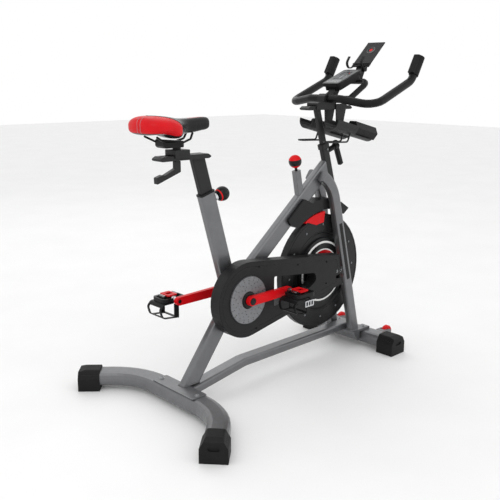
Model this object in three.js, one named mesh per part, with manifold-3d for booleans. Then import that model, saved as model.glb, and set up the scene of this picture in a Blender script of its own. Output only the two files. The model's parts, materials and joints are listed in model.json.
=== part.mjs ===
// Indoor spin bike: steel frame, belt-driven flywheel, adjustable saddle and handlebar.
// Millimetres, +X forward, +Y to the rider's left, +Z up, floor at z = 0.
import * as THREE from 'three';
import { mergeVertices } from 'three/addons/utils/BufferGeometryUtils.js';
import Module from 'manifold-3d';

const wasm = await Module();
wasm.setup();

// Driving dimensions. Heights are above the floor, lengths along X are from the crank axis.
const GAP = 0.3;
const CRANK_Z = 338;
const CRANK_LENGTH = 170;
const CRANK_ANGLE = 2.1;
const AXLE_X = 455;
const AXLE_Z = 345;
const WHEEL_R = 224;
const WHEEL_T = 30;
const PULLEY_R = 96;
const PULLEY_SMALL_R = 24;
const BELT_T = 4;
const BELT_Y = -46;
const GUARD_R = 133;
const GUARD_OUTER_Y = -76;
const GUARD_INNER_Y = -33;
const SEAT_TILT = 16.4;
const HEAD_TILT = 17.7;
const DIAGONAL_TILT = 39.5;
const REAR_LEG_TILT = 53.1;
const TUBE_DEPTH = 58;
const TUBE_WIDTH = 30;
const SEAT_TUBE_LENGTH = 385;
const SEAT_POST_TOP = 506;
const HEAD_X = 473;
const HEAD_Z = 791;
const BASE_TOP = 98;
const BASE_W = 50;
const BASE_H = 30;
const REAR_X = -245;
const REAR_HALF = 361;
const REAR_SWEEP = 48;
const FRONT_X = 681;
const FRONT_HALF = 236;
const STAB_W = 76;
const STAB_TOP = 66;
const STAB_BOTTOM = 16;
const CAP_W = 86;
const CAP_L = 75;
const CAP_H = 74;
const CASTER_R = 26;
const CASTER_REACH = 81;
const CASTER_X = FRONT_X + CASTER_REACH;
const CASTER_Y = 119;
const BAR_HALF = 203;
const BAR_R = 15;
const SADDLE_Z = 893;

const rad = THREE.MathUtils.degToRad;
const at = (x, y, z) => new THREE.Vector3(x, y, z);
const Y_AXIS = at(0, 1, 0);

// Materials.
const paint = (color, roughness, metalness) =>
  new THREE.MeshStandardMaterial({ color, roughness, metalness });
const GREY = paint(0x6f7072, 0.4, 0.7);
const DARK = paint(0x38393b, 0.45, 0.4);
const BLACK = paint(0x1b1b1c, 0.5, 0.1);
const RUBBER = paint(0x161617, 0.8, 0);
const RED = paint(0xd8181c, 0.4, 0.1);
const SILVER = paint(0xb9bbbd, 0.3, 0.9);
const PLASTIC = paint(0x2b2b2c, 0.55, 0);
const VINYL = paint(0xc4161c, 0.55, 0);
const RIM = paint(0x232425, 0.35, 0.6);
const DISC = paint(0x8b8c8e, 0.45, 0.5);

// A closed geometry as a manifold solid, with its shared vertices merged.
function solid(geometry) {
  const plain = geometry.clone();
  plain.deleteAttribute('normal');
  plain.deleteAttribute('uv');
  const merged = mergeVertices(plain, 1e-3);
  const vertProperties = new Float32Array(merged.attributes.position.array);
  const triVerts = new Uint32Array(merged.index.array);
  return new wasm.Manifold(new wasm.Mesh({ numProp: 3, vertProperties, triVerts }));
}

const join = (...pieces) => pieces.reduce((a, b) => a.add(b));
const cut = (piece, ...tools) => tools.reduce((a, b) => a.subtract(b), piece);
const mirrorY = (piece) => piece.mirror([0, 1, 0]);
const mirrorPoint = (p) => at(p.x, -p.y, p.z);

// A polygon with every corner rounded by radius r, as a list of points.
function rounded(corners, r, steps = 2) {
  const out = [];
  corners.forEach((corner, i) => {
    const here = new THREE.Vector2(...corner);
    const before = new THREE.Vector2(...corners.at(i - 1)).sub(here);
    const after = new THREE.Vector2(...corners[(i + 1) % corners.length]).sub(here);
    const radius = corner[2] ?? r;
    const cosine = before.clone().normalize().dot(after.clone().normalize());
    const half = Math.acos(THREE.MathUtils.clamp(cosine, -1, 1)) / 2;
    const reach = radius / Math.tan(half);
    const start = here.clone().addScaledVector(before.normalize(), reach);
    const end = here.clone().addScaledVector(after.normalize(), reach);
    const count = radius > 0 ? steps : 0;
    for (let k = 0; k <= count; k++) {
      const t = count ? k / count : 0;
      const a = start.clone().lerp(here, t);
      const b = here.clone().lerp(end, t);
      out.push(a.lerp(b, t).toArray());
    }
  });
  return out;
}

const rectangle = (w, h, r = 0, steps = 2) =>
  rounded([[-w / 2, -h / 2], [w / 2, -h / 2], [w / 2, h / 2], [-w / 2, h / 2]], r, steps);

function circle(r, steps, x = 0, y = 0) {
  const angle = (i) => (2 * Math.PI * i) / steps;
  return Array.from({ length: steps }, (_, i) => [x + r * Math.cos(angle(i)), y + r * Math.sin(angle(i))]);
}

function arc(r, from, to, steps, x = 0, y = 0) {
  const angle = (i) => rad(from + ((to - from) * i) / steps);
  return Array.from({ length: steps + 1 }, (_, i) =>
    [x + r * Math.cos(angle(i)), y + r * Math.sin(angle(i))]);
}

const outline = (points) => new THREE.Shape(points.map(([x, y]) => new THREE.Vector2(x, y)));

// An outline extruded by depth along +Z, then moved by a matrix.
function prism(points, depth, matrix) {
  const geometry = new THREE.ExtrudeGeometry(outline(points), { depth, bevelEnabled: false, steps: 1 });
  geometry.applyMatrix4(matrix);
  return solid(geometry);
}

const basis = (x, y, z, origin) => new THREE.Matrix4().makeBasis(x, y, z).setPosition(origin);

// Side profile in X and Z, from y0 to y1.
const side = (points, y0, y1) =>
  prism(points, y1 - y0, basis(at(1, 0, 0), at(0, 0, 1), at(0, -1, 0), at(0, y1, 0)));
// Plan outline in X and Y, from z0 to z1.
const slab = (points, z0, z1) => prism(points, z1 - z0, new THREE.Matrix4().setPosition(0, 0, z0));

// A section (in-plane depth, lateral width) extruded from one point of the middle plane to another.
function beam(from, to, section) {
  const along = to.clone().sub(from).normalize();
  const reference = Math.abs(along.y) > 0.9 ? at(0, 0, 1) : Y_AXIS;
  const depthAxis = reference.clone().cross(along).normalize();
  const widthAxis = along.clone().cross(depthAxis);
  return prism(section, to.distanceTo(from), basis(depthAxis, widthAxis, along, from));
}

const boxBeam = (from, to, depth, width, r = 6) => beam(from, to, rectangle(depth, width, r));
const rod = (from, to, r, steps = 20) => beam(from, to, circle(r, steps));

function box(x0, x1, y0, y1, z0, z1) {
  const geometry = new THREE.BoxGeometry(x1 - x0, y1 - y0, z1 - z0);
  geometry.translate((x0 + x1) / 2, (y0 + y1) / 2, (z0 + z1) / 2);
  return solid(geometry);
}

// A profile of [radius, height] pairs turned about an axis through origin.
function turned(profile, steps, origin, axis) {
  const points = profile.map(([r, h]) => new THREE.Vector2(r, h));
  const geometry = new THREE.LatheGeometry(points, steps);
  geometry.applyQuaternion(new THREE.Quaternion().setFromUnitVectors(Y_AXIS, axis.clone().normalize()));
  geometry.translate(origin.x, origin.y, origin.z);
  return solid(geometry);
}

// A line through corners with round bends, met by a section at each bend step only.
class BentPath extends THREE.Curve {
  constructor(corners, radii, steps = 4) {
    super();
    this.stations = [];
    const last = corners.length - 1;
    this.add(corners[0], corners[1].clone().sub(corners[0]));
    for (let i = 1; i < last; i++) {
      this.bend(corners[i - 1], corners[i], corners[i + 1], radii[i - 1] ?? radii.at(-1), steps);
    }
    this.add(corners[last], corners[last].clone().sub(corners[last - 1]));
  }

  add(point, tangent) {
    this.stations.push({ point: point.clone(), tangent: tangent.clone().normalize() });
  }

  bend(before, corner, after, radius, steps) {
    const inward = corner.clone().sub(before).normalize();
    const outward = after.clone().sub(corner).normalize();
    const turn = inward.angleTo(outward);
    const axis = inward.clone().cross(outward).normalize();
    const start = corner.clone().addScaledVector(inward, -radius * Math.tan(turn / 2));
    const centre = start.clone().addScaledVector(axis.clone().cross(inward), radius);
    for (let k = 0; k <= steps; k++) {
      const angle = (turn * k) / steps;
      const point = start.clone().sub(centre).applyAxisAngle(axis, angle).add(centre);
      this.add(point, inward.clone().applyAxisAngle(axis, angle));
    }
  }

  station(u) {
    return this.stations[Math.round(u * (this.stations.length - 1))];
  }

  getPointAt(u, target = new THREE.Vector3()) {
    return target.copy(this.station(u).point);
  }

  getTangentAt(u, target = new THREE.Vector3()) {
    return target.copy(this.station(u).tangent);
  }
}

function sweep(section, path) {
  const steps = path.stations.length - 1;
  return solid(new THREE.ExtrudeGeometry(outline(section), { extrudePath: path, steps,
    bevelEnabled: false }));
}

const bike = new THREE.Group();

function addPart(name, piece, material) {
  const mesh = piece.getMesh();
  const geometry = new THREE.BufferGeometry();
  geometry.setAttribute('position', new THREE.BufferAttribute(mesh.vertProperties, 3));
  geometry.setIndex(new THREE.BufferAttribute(mesh.triVerts, 1));
  geometry.computeVertexNormals();
  const part = new THREE.Mesh(geometry, material);
  part.name = name;
  bike.add(part);
  return part;
}

function addPair(name, rightPiece, material) {
  addPart(`${name}_right`, rightPiece, material);
  addPart(`${name}_left`, mirrorY(rightPiece), material);
}

// Lines of the frame.
const direction = (degrees) => at(Math.cos(rad(degrees)), 0, Math.sin(rad(degrees)));
const CRANK = at(0, 0, CRANK_Z);
const SEAT_DIR = direction(90 + SEAT_TILT);
const HEAD_DIR = direction(90 + HEAD_TILT);
const REAR_LEG_DIR = direction(180 + REAR_LEG_TILT);
const DIAGONAL_DIR = direction(DIAGONAL_TILT);
const DIAGONAL_FOOT = at(0, 0, CRANK_Z + 19);
const HEAD_POINT = at(HEAD_X, 0, HEAD_Z);
const onLine = (origin, dir, t) => origin.clone().addScaledVector(dir, t);
const SEAT_FOOT = at(-13, 0, CRANK_Z);
const seatLine = (t) => onLine(SEAT_FOOT, SEAT_DIR, t);
const headLine = (t) => onLine(HEAD_POINT, HEAD_DIR, t);
const diagonalLine = (t) => onLine(DIAGONAL_FOOT, DIAGONAL_DIR, t);
const rearLegLine = (t) => onLine(CRANK, REAR_LEG_DIR, t);

const SHELL_R = 27;
const shellHole = () => rod(at(0, -60, CRANK_Z), at(0, 60, CRANK_Z), SHELL_R + 2 * GAP, 24);
const BIG = 400;

// A slab of space on the far side of a plane that faces along dir.
function beyond(point, dir) {
  return boxBeam(point, point.clone().addScaledVector(dir, BIG), BIG, BIG, 0);
}

function addStabilizers() {
  const middle = (STAB_TOP + STAB_BOTTOM) / 2;
  const height = STAB_TOP - STAB_BOTTOM;
  const section = rounded([
    [-height / 2, -STAB_W / 2, 20], [height / 2, -STAB_W / 2, 20],
    [height / 2, STAB_W / 2, 20], [-height / 2, STAB_W / 2, 20],
  ], 20, 3);
  const sweepBack = at(-Math.sin(rad(REAR_SWEEP)), -Math.cos(rad(REAR_SWEEP)), 0);
  const bendY = 215;
  const reach = (REAR_HALF - bendY) / Math.cos(rad(REAR_SWEEP));
  const corner = at(REAR_X, -bendY, middle);
  const capEnd = onLine(corner, sweepBack, reach);
  const tubeEnd = onLine(capEnd, sweepBack, -CAP_SOLID);
  const path = new BentPath([tubeEnd, corner, mirrorPoint(corner), mirrorPoint(tubeEnd)], [230], 7);
  const rearCap = stabilizerCap(capEnd, sweepBack);
  const frontCap = stabilizerCap(at(FRONT_X, -FRONT_HALF, middle), at(0, -1, 0));
  addPart('rear_stabilizer', sweep(section, path), GREY);
  const frontEnd = FRONT_HALF - CAP_SOLID;
  const frontPath = new BentPath([at(FRONT_X, -frontEnd, middle), at(FRONT_X, frontEnd, middle)], [0]);
  const bracket = casterBracket();
  const tube = sweep(section, frontPath);
  addPart('front_stabilizer', join(tube, bracket, mirrorY(bracket)), GREY);
  const frontSocket = inflatedTube(at(FRONT_X, -FRONT_HALF, middle), at(0, -1, 0), section);
  addPair('rear_cap', cut(rearCap, inflatedTube(capEnd, sweepBack, section)), RUBBER);
  addPair('front_cap', cut(frontCap, frontSocket), RUBBER);
}

const CAP_SOLID = 12;

// The space inside an end cap that the tube fills.
function inflatedTube(end, outward, section) {
  const grown = section.map(([x, y]) => [x * 1.02, y * 1.015]);
  const steps = [onLine(end, outward, -CAP_L - 5), onLine(end, outward, -CAP_SOLID + GAP)];
  return sweep(grown, new BentPath(steps, [0]));
}

// Rubber end cap: flat foot, sloped shoulders and top, a shallow slot in the end face.
function stabilizerCap(end, outward) {
  const half = CAP_W / 2;
  const face = rounded([
    [-half, 0, 1], [half, 0, 1], [half, CAP_H * 0.62, 4],
    [half * 0.62, CAP_H, 8], [-half * 0.62, CAP_H, 8], [-half, CAP_H * 0.62, 4],
  ], 4, 2);
  const across = at(-outward.y, outward.x, 0);
  const foot = at(end.x, end.y, 0);
  const body = prism(face, CAP_L, basis(across, at(0, 0, 1), outward, onLine(foot, outward, -CAP_L)));
  const slope = new THREE.Matrix4().makeRotationFromQuaternion(
    new THREE.Quaternion().setFromAxisAngle(across, rad(14)));
  const wedge = new THREE.BoxGeometry(200, 200, 40);
  wedge.translate(0, 0, 20);
  wedge.applyMatrix4(slope);
  const shoulder = onLine(at(end.x, end.y, CAP_H - 6), outward, 0);
  wedge.translate(shoulder.x, shoulder.y, shoulder.z);
  const slot = prism(rectangle(34, 12, 5), 6, basis(across, at(0, 0, 1), outward,
    onLine(at(end.x, end.y, CAP_H * 0.62), outward, -4)));
  return cut(body, solid(wedge), slot);
}

// Fork plates that hold a transport wheel in front of the front stabilizer.
function casterBracket() {
  const z = 48;
  const [root, neck, tip] = [FRONT_X + 31, CASTER_X - 20, CASTER_X + 12];
  const outlinePoints = [
    [root, 34, 2], [neck, 34, 8], [tip, 38, 11], [tip, 60, 11], [neck, 64, 4], [root, 64, 2],
  ];
  const fork = side(rounded(outlinePoints, 4), -CASTER_Y - 17, -CASTER_Y + 17);
  const space = box(CASTER_X - CASTER_R - 3, CASTER_X + 60, -CASTER_Y - 12, -CASTER_Y + 12, 20, 90);
  const pin = rod(at(CASTER_X, -CASTER_Y - 15, z), at(CASTER_X, -CASTER_Y + 15, z), 4, 12);
  return join(cut(fork, space), pin);
}

function addCasters() {
  const profile = [
    [4.4, -10], [CASTER_R - 3, -10], [CASTER_R, -6], [CASTER_R, 6],
    [CASTER_R - 3, 10], [4.4, 10], [4.4, -10],
  ];
  addPair('transport_wheel', turned(profile, 20, at(CASTER_X, -CASTER_Y, 48), Y_AXIS), RED);
}

const CROSS_TOP = 76;
const CROSS_HALF = 78;
const CROSS_REAR = FRONT_X - 81;
const CROSS_FRONT = FRONT_X + 19;
const CROSS_STEP = FRONT_X - STAB_W / 2 - 9;
const crosspiece = () => side(rounded([
  [CROSS_REAR, CROSS_TOP, 4], [CROSS_REAR, 60, 8], [CROSS_STEP - 12, 30, 8], [CROSS_STEP, 30, 1],
  [CROSS_STEP, STAB_TOP + 0.4, 2], [CROSS_FRONT, STAB_TOP + 0.4, 1], [CROSS_FRONT, CROSS_TOP, 3],
].reverse(), 4), -CROSS_HALF, CROSS_HALF);

function addBase() {
  const tabCut = box(FRONT_X - 26, FRONT_X + 119, -42, 42, 0, 200);
  addPart('front_crosspiece', cut(crosspiece(), tabCut), GREY);
  const rearEnd = REAR_X + STAB_W / 2 + 3.5;
  const half = BASE_H / 2;
  const path = new BentPath([
    at(rearEnd, 0, 45), at(40, 0, BASE_TOP - half), at(FRONT_X - 31, 0, BASE_TOP - half)], [160], 4);
  const footSpace = box(CROSS_REAR - GAP, FRONT_X + 119, -90, 90, 0, CROSS_TOP + GAP);
  addPart('base_tube', cut(sweep(rectangle(BASE_W, BASE_H, 7, 2), path), footSpace), GREY);
}

// Straight frame tubes between the bottom bracket, the head tube and the rear stabilizer.
const tubeSection = () => rectangle(TUBE_DEPTH, TUBE_WIDTH, 7, 2);
const seatTubeBody = (grow) =>
  boxBeam(seatLine(8), seatLine(SEAT_TUBE_LENGTH), TUBE_DEPTH + grow, TUBE_WIDTH + grow, 7);

function addFrameTubes() {
  const inner = boxBeam(seatLine(60), seatLine(SEAT_TUBE_LENGTH + 1), 52.6, 24.6, 4);
  const pinHole = rod(PIN_POINT, onLine(PIN_POINT, PIN_DIR, -22), 7.5, 16);
  addPart('seat_tube', cut(seatTubeBody(0), inner, pinHole, shellHole()), GREY);

  const legFoot = STAB_TOP + GAP;
  const leg = beam(rearLegLine(8), rearLegLine(400), tubeSection());
  const plate = slab(rectangle(60, 216, 6).map(([x, y]) => [x + REAR_X, y]), legFoot, legFoot + 3);
  const below = box(-500, 200, -100, 100, -200, legFoot + 1);
  const rearLeg = join(cut(leg, below, shellHole(), seatTubeBody(2 * GAP)), plate);
  const ramp = box(REAR_X + 36, REAR_X + 60, -30, 30, 0, 66);
  addPart('rear_leg', cut(rearLeg, ramp), GREY);

  const diagonal = beam(diagonalLine(10), diagonalLine(640), tubeSection());
  const headRear = onLine(HEAD_POINT, HEAD_DIR.clone().cross(Y_AXIS).multiplyScalar(1),
    HEAD_DEPTH / 2 + GAP);
  const ahead = beyond(headRear, HEAD_DIR.clone().cross(Y_AXIS).multiplyScalar(-1));
  addPart('diagonal_tube', cut(diagonal, ahead, shellHole(), seatTubeBody(2 * GAP)), GREY);

  const shell = rod(at(0, -34, CRANK_Z), at(0, 62, CRANK_Z), SHELL_R, 24);
  addPart('bottom_bracket', cut(shell, rod(at(0, -40, CRANK_Z), at(0, 70, CRANK_Z), 12.5, 24)), DARK);
}

const HEAD_DEPTH = 34;
const HEAD_WIDTH = 22;
const POST_DEPTH = 26;
const POST_WIDTH = 16;
const HEAD_LOW = -108;
const HEAD_HIGH = 46;

function addHeadTube() {
  const tube = boxBeam(headLine(HEAD_LOW), headLine(HEAD_HIGH), HEAD_DEPTH, HEAD_WIDTH, 5);
  const collar = boxBeam(headLine(HEAD_HIGH - 16), headLine(HEAD_HIGH + 3), HEAD_DEPTH + 6,
    HEAD_WIDTH + 6, 6);
  const bore = boxBeam(headLine(HEAD_LOW - 1), headLine(HEAD_HIGH + 4), POST_DEPTH + 1, POST_WIDTH + 1, 4);
  const screwHole = rod(headLine(14), onLine(headLine(14), FORWARD, 30), 6, 16);
  addPart('head_tube', cut(join(tube, collar), bore, screwHole), DARK);
}

const FORWARD = Y_AXIS.clone().cross(HEAD_DIR).normalize();

// Curved front legs: outside the diagonal tube at the top, on the crosspiece at the bottom.
const LEG_DEPTH = 43;
const LEG_WIDTH = 29;

function addFrontLegs() {
  const section = rectangle(LEG_WIDTH, LEG_DEPTH, 8, 2);
  const legY = TUBE_WIDTH / 2 + LEG_WIDTH / 2 + 1.5;
  const foot = at(FRONT_X - 56, -legY - 24.5, CROSS_TOP - 30);
  const path = new BentPath([foot, at(483, -legY - 0.5, 681), at(424, -legY, 721)], [150], 8);
  const below = box(500, FRONT_X + 119, -200, 200, -100, CROSS_TOP + GAP);
  addPair('front_leg', cut(sweep(section, path), below), GREY);
}

const SLEEVE_DEPTH = 51;
const SLEEVE_WIDTH = 21;

function addSeatSleeve() {
  const [low, high] = [SEAT_TUBE_LENGTH - 55, SEAT_TUBE_LENGTH + 7];
  const lip = boxBeam(seatLine(SEAT_TUBE_LENGTH + GAP), seatLine(high), TUBE_DEPTH + 2, TUBE_WIDTH + 2, 7);
  const liner = boxBeam(seatLine(low), seatLine(SEAT_TUBE_LENGTH + 1), 52, 24, 4);
  const bore = boxBeam(seatLine(low - 1), seatLine(high + 1), SLEEVE_DEPTH, SLEEVE_WIDTH, 3);
  const pinHole = rod(PIN_POINT, onLine(PIN_POINT, PIN_DIR, -22), 7.5, 16);
  addPart('seat_sleeve', cut(join(lip, liner), bore, pinHole), PLASTIC);
}

// Belt guard outline: a round end about the crank and straight edges that narrow forward.
const GUARD_TOP_SLOPE = -6.4;
const GUARD_LOW_SLOPE = 10.4;
const GUARD_TIP = [[486, 417.5], [512, 297]];

function guardOutline(inset) {
  const r = GUARD_R - inset;
  const [topTip, lowTip] = GUARD_TIP;
  const fall = (slope) => inset / Math.cos(rad(slope));
  const round = arc(r, 90 + GUARD_TOP_SLOPE, 270 + GUARD_LOW_SLOPE, 24, 0, CRANK_Z);
  const low = [lowTip[0] - inset, lowTip[1] + fall(GUARD_LOW_SLOPE)];
  const top = [topTip[0] - inset, topTip[1] - fall(GUARD_TOP_SLOPE)];
  return [low, top, ...round];
}

const guardSlot = (grow) => rounded([
  [127 - grow, 286 - grow, 6], [318 + grow * 0.6, 318 - grow, 22], [357 + grow, 340, 20],
  [345 + grow * 0.6, 370 + grow, 18], [127 - grow, 397 + grow, 6],
], 10, 3);

function guardHalf(yOuter, ySplit, boreR) {
  const wall = 4;
  const [y0, y1] = [Math.min(yOuter, ySplit), Math.max(yOuter, ySplit)];
  const inward = Math.sign(ySplit - yOuter);
  const hollow = inward > 0 ? [yOuter + wall, ySplit + 1] : [ySplit - 1, yOuter - wall];
  const cavity = cut(side(guardOutline(wall), ...hollow), side(guardSlot(wall), hollow[0] - 1,
    hollow[1] + 1));
  const bore = rod(at(0, y0 - 1, CRANK_Z), at(0, y1 + 1, CRANK_Z), boreR, 32);
  return cut(side(guardOutline(0), y0, y1), cavity, side(guardSlot(0), y0 - 1, y1 + 1), bore);
}

function addGuard() {
  const split = BELT_Y;
  const window = side(rectangle(120, 46, 6).map(([x, z]) => [x + 530, z + AXLE_Z]), -100, -50);
  addPart('guard_cover', cut(guardHalf(GUARD_OUTER_Y, split - GAP / 2, 31), window), PLASTIC);
  const axleBore = rod(at(AXLE_X, -60, AXLE_Z), at(AXLE_X, -30, AXLE_Z), PULLEY_SMALL_R + 6, 32);
  const notch = box(470, 560, -60, -44, AXLE_Z - 23, AXLE_Z + 23);
  addPart('guard_back', cut(guardHalf(GUARD_INNER_Y, split + GAP / 2, SHELL_R + 4), axleBore,
    notch), PLASTIC);
  const disc = rod(at(0, GUARD_OUTER_Y - 3, CRANK_Z), at(0, GUARD_OUTER_Y - GAP, CRANK_Z), 85, 48);
  addPart('guard_disc', cut(disc, rod(at(0, -90, CRANK_Z), at(0, -60, CRANK_Z), 31, 32)), DISC);
}

// Belt around the two pulleys.
function beltLoop(r1, r2) {
  const span = Math.hypot(AXLE_X, AXLE_Z - CRANK_Z);
  const lean = THREE.MathUtils.radToDeg(Math.atan2(AXLE_Z - CRANK_Z, AXLE_X));
  const open = THREE.MathUtils.radToDeg(Math.acos((r1 - r2) / span));
  const large = arc(r1, lean + open, lean + 360 - open, 22, 0, CRANK_Z);
  return [...large, ...arc(r2, lean - open, lean + open, 8, AXLE_X, AXLE_Z)];
}

function addBelt() {
  const clear = 0.4;
  const outer = side(beltLoop(PULLEY_R + BELT_T, PULLEY_SMALL_R + BELT_T), BELT_Y - 6, BELT_Y + 6);
  const inner = side(beltLoop(PULLEY_R + clear, PULLEY_SMALL_R + clear), BELT_Y - 7, BELT_Y + 7);
  addPart('drive_belt', cut(outer, inner), RUBBER);
}

// Brake shroud over the flywheel rim, fixed to the diagonal tube.
const BRAKE_HALF_W = 26;

function addBrake() {
  const profile = rounded([
    [246, 571, 10], [271, 549, 8], ...arc(WHEEL_R + 20, 128, 60, 8, AXLE_X, AXLE_Z).map((p) => [...p, 0]),
    [607, 577, 2], [560, 606, 30], [500, 628, 30], [432, 634, 20], [378, 622, 12], [334, 643, 8],
  ], 0, 3);
  const tube = beam(diagonalLine(10), diagonalLine(640), rectangle(TUBE_DEPTH + 2 * GAP,
    TUBE_WIDTH + 2 * GAP, 7, 2));
  const rodHole = rod(KNOB_FOOT, onLine(KNOB_FOOT, KNOB_DIR, -160), 9, 16);
  const legSpace = box(440, 700, BRAKE_HALF_W - 9, BRAKE_HALF_W + 9, 400, 800);
  const cover = side(profile, -BRAKE_HALF_W, BRAKE_HALF_W);
  addPart('brake_shroud', cut(cover, tube, rodHole, legSpace, mirrorY(legSpace)), BLACK);

  const over = arc(WHEEL_R + 14, 90, 118, 5, AXLE_X, AXLE_Z);
  const arcBand = [...arc(WHEEL_R + 6, 118, 90, 5, AXLE_X, AXLE_Z), ...over];
  const cheekPoints = [...arc(WHEEL_R - 28, 92, 104, 3, AXLE_X, AXLE_Z), ...over.toReversed()];
  const cheek = side(cheekPoints, -WHEEL_T / 2 - 9, -WHEEL_T / 2 - 4);
  const bridge = side(arcBand, -WHEEL_T / 2 - 9, WHEEL_T / 2 + 9);
  addPart('brake_magnet', join(bridge, cheek, mirrorY(cheek)), RED);
}

const KNOB_DIR = direction(90 + 11.8);
const KNOB_FOOT = at(327, 0, 676);
const knobLine = (t) => onLine(KNOB_FOOT, KNOB_DIR, t);
const KNOB_HEIGHT = 108;
const KNOB_R = 24;

function addResistanceKnob() {
  const sleeve = boxBeam(knobLine(-30), knobLine(74), 26, 24, 4);
  const tube = beam(diagonalLine(10), diagonalLine(640), rectangle(TUBE_DEPTH + 2 * GAP,
    TUBE_WIDTH + 2 * GAP, 7, 2));
  const bore = rod(knobLine(-40), knobLine(80), 7, 20);
  const upper = cut(sleeve, tube, bore);
  addPart('knob_sleeve', upper, GREY);
  addPart('knob_rod', rod(knobLine(10), knobLine(KNOB_HEIGHT - 20), 5, 16), BLACK);
  const body = [[0, -23], ...arc(KNOB_R, -70, 80, 9), [0, KNOB_R]];
  const socket = rod(knobLine(KNOB_HEIGHT - 40), knobLine(KNOB_HEIGHT - 18), 5.6, 16);
  addPart('resistance_knob', cut(turned(body, 20, knobLine(KNOB_HEIGHT), KNOB_DIR), socket), BLACK);
}

// Flywheel with a stepped rim, an inner dish and the small pulley on its right side.
function addFlywheel() {
  const t = WHEEL_T / 2;
  const half = [
    [10.6, t + 6], [40, t + 6], [42, t + 2], [132, t + 2], [134, t - 6], [150, t - 6], [156, t],
    [WHEEL_R - 3, t], [WHEEL_R, t - 3],
  ];
  const profile = [...half.map(([r, h]) => [r, -h]), ...half.reverse()];
  profile.push(profile[0]);
  const wheel = turned(profile, 44, at(AXLE_X, 0, AXLE_Z), Y_AXIS);
  const [far, near] = [BELT_Y - 7.5, BELT_Y + 7.5];
  const hub = [
    [10.6, far - 1], [PULLEY_SMALL_R + 3, far - 1], [PULLEY_SMALL_R + 3, far + 0.5],
    [PULLEY_SMALL_R, far + 1],
    [PULLEY_SMALL_R, near], [18, near + 0.5], [18, -t - 4], [10.6, -t - 4], [10.6, far - 1],
  ];
  addPart('flywheel', join(wheel, turned(hub, 20, at(AXLE_X, 0, AXLE_Z), Y_AXIS)), RIM);
  const badge = [[43, 0], [118, 0], [120, 1.5], [120, 3], [43, 3], [43, 0]];
  const right = turned(badge, 32, at(AXLE_X, -t - 2 - 3 - GAP, AXLE_Z), Y_AXIS);
  addPart('flywheel_emblem', right, RED);
}

// Axle on two drop-out plates that lie against the outer sides of the front legs.
function addAxle() {
  const plateY = -55.7;
  const plateT = 3.5;
  const nutY = plateY - plateT - GAP;
  const bar = rod(at(AXLE_X, nutY - 9, AXLE_Z), at(AXLE_X, 9 - nutY, AXLE_Z), 9.8, 20);
  const nut = rod(at(AXLE_X, nutY - 7, AXLE_Z), at(AXLE_X, nutY, AXLE_Z), 15, 6);
  addPart('flywheel_axle', join(bar, nut, mirrorY(nut)), SILVER);
  const plate = rounded([
    [AXLE_X - 17, AXLE_Z - 15, 12], [538.5, AXLE_Z - 15, 1], [531, AXLE_Z + 15, 1],
    [AXLE_X - 17, AXLE_Z + 15, 12],
  ], 6, 3);
  const bore = rod(at(AXLE_X, -90, AXLE_Z), at(AXLE_X, -40, AXLE_Z), 10.2, 20);
  addPair('axle_plate', cut(side(plate, plateY - plateT, plateY), bore), DARK);
}

// Crank axle with the drive pulley, and two arms that lean outward.
const ARM_T = 14;
const RIGHT_ARM_Y = -84;
const LEFT_ARM_Y = 72;
const ARM_LEAN = 11;
const crankDir = direction(CRANK_ANGLE);

function crankArm(innerY, sign) {
  const y1 = innerY + sign * ARM_T;
  const points = [...arc(16.5, 98, 262, 12), ...arc(14.5, -88, 88, 12, CRANK_LENGTH, 0)];
  const flat = side(points, Math.min(innerY, y1), Math.max(innerY, y1));
  const lean = new THREE.Matrix4().set(
    1, 0, 0, 0,
    (sign * ARM_LEAN) / CRANK_LENGTH, 1, 0, 0,
    0, 0, 1, 0,
    0, 0, 0, 1,
  );
  const turn = (sign > 0 ? Math.PI : 0) - rad(CRANK_ANGLE);
  const place = new THREE.Matrix4().makeRotationY(turn).setPosition(0, 0, CRANK_Z);
  const boss = rod(at(0, innerY + sign * 1, 0), at(0, innerY + sign * (ARM_T + 2), 0), 16.5, 28);
  const bore = rod(at(0, innerY - sign * 5, 0), at(0, innerY + sign * (ARM_T + 5), 0), 9.3, 20);
  const eyeY = innerY + sign * ARM_LEAN;
  const eye = rod(at(CRANK_LENGTH, eyeY - 8 * sign, 0),
    at(CRANK_LENGTH, eyeY + sign * (ARM_T + 8), 0), 7.3, 16);
  return cut(join(flat.transform(lean.elements), boss), bore, eye).transform(place.elements);
}

function addCrank() {
  const [far, near] = [BELT_Y - 7, BELT_Y + 7];
  const pulley = [
    [0, far - 1], [PULLEY_R + 2, far - 1], [PULLEY_R + 2, far + 0.6], [PULLEY_R, far + 0.8],
    [PULLEY_R, near],
    [PULLEY_R - 8, near], [PULLEY_R - 8, BELT_Y + 2], [14, BELT_Y + 2], [14, near], [0, near],
  ];
  const wheel = turned(pulley, 32, CRANK, Y_AXIS);
  const y0 = RIGHT_ARM_Y - ARM_T - 3;
  const y1 = LEFT_ARM_Y + ARM_T + 3;
  const shaft = rod(at(0, y0, CRANK_Z), at(0, y1, CRANK_Z), 9, 20);
  const core = rod(at(0, -60, CRANK_Z), at(0, 66, CRANK_Z), 11.5, 24);
  const hub = turned([[0, -82.4], [22, -82.4], [28.5, -79.5], [28.5, -70], [0, -70]], 28, CRANK, Y_AXIS);
  const cap = rod(at(0, y0 - 1.5, CRANK_Z), at(0, RIGHT_ARM_Y - ARM_T - 2 - GAP, CRANK_Z), 12.5, 24);
  const capLeft = rod(at(0, LEFT_ARM_Y + ARM_T + 2 + GAP, CRANK_Z), at(0, y1 + 1.5, CRANK_Z), 12.5, 24);
  addPart('crank_axle', join(wheel, shaft, core, hub, cap, capLeft), BLACK);
  addPart('crank_arm_right', crankArm(RIGHT_ARM_Y, -1), RED);
  addPart('crank_arm_left', crankArm(LEFT_ARM_Y, 1), RED);
}

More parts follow.
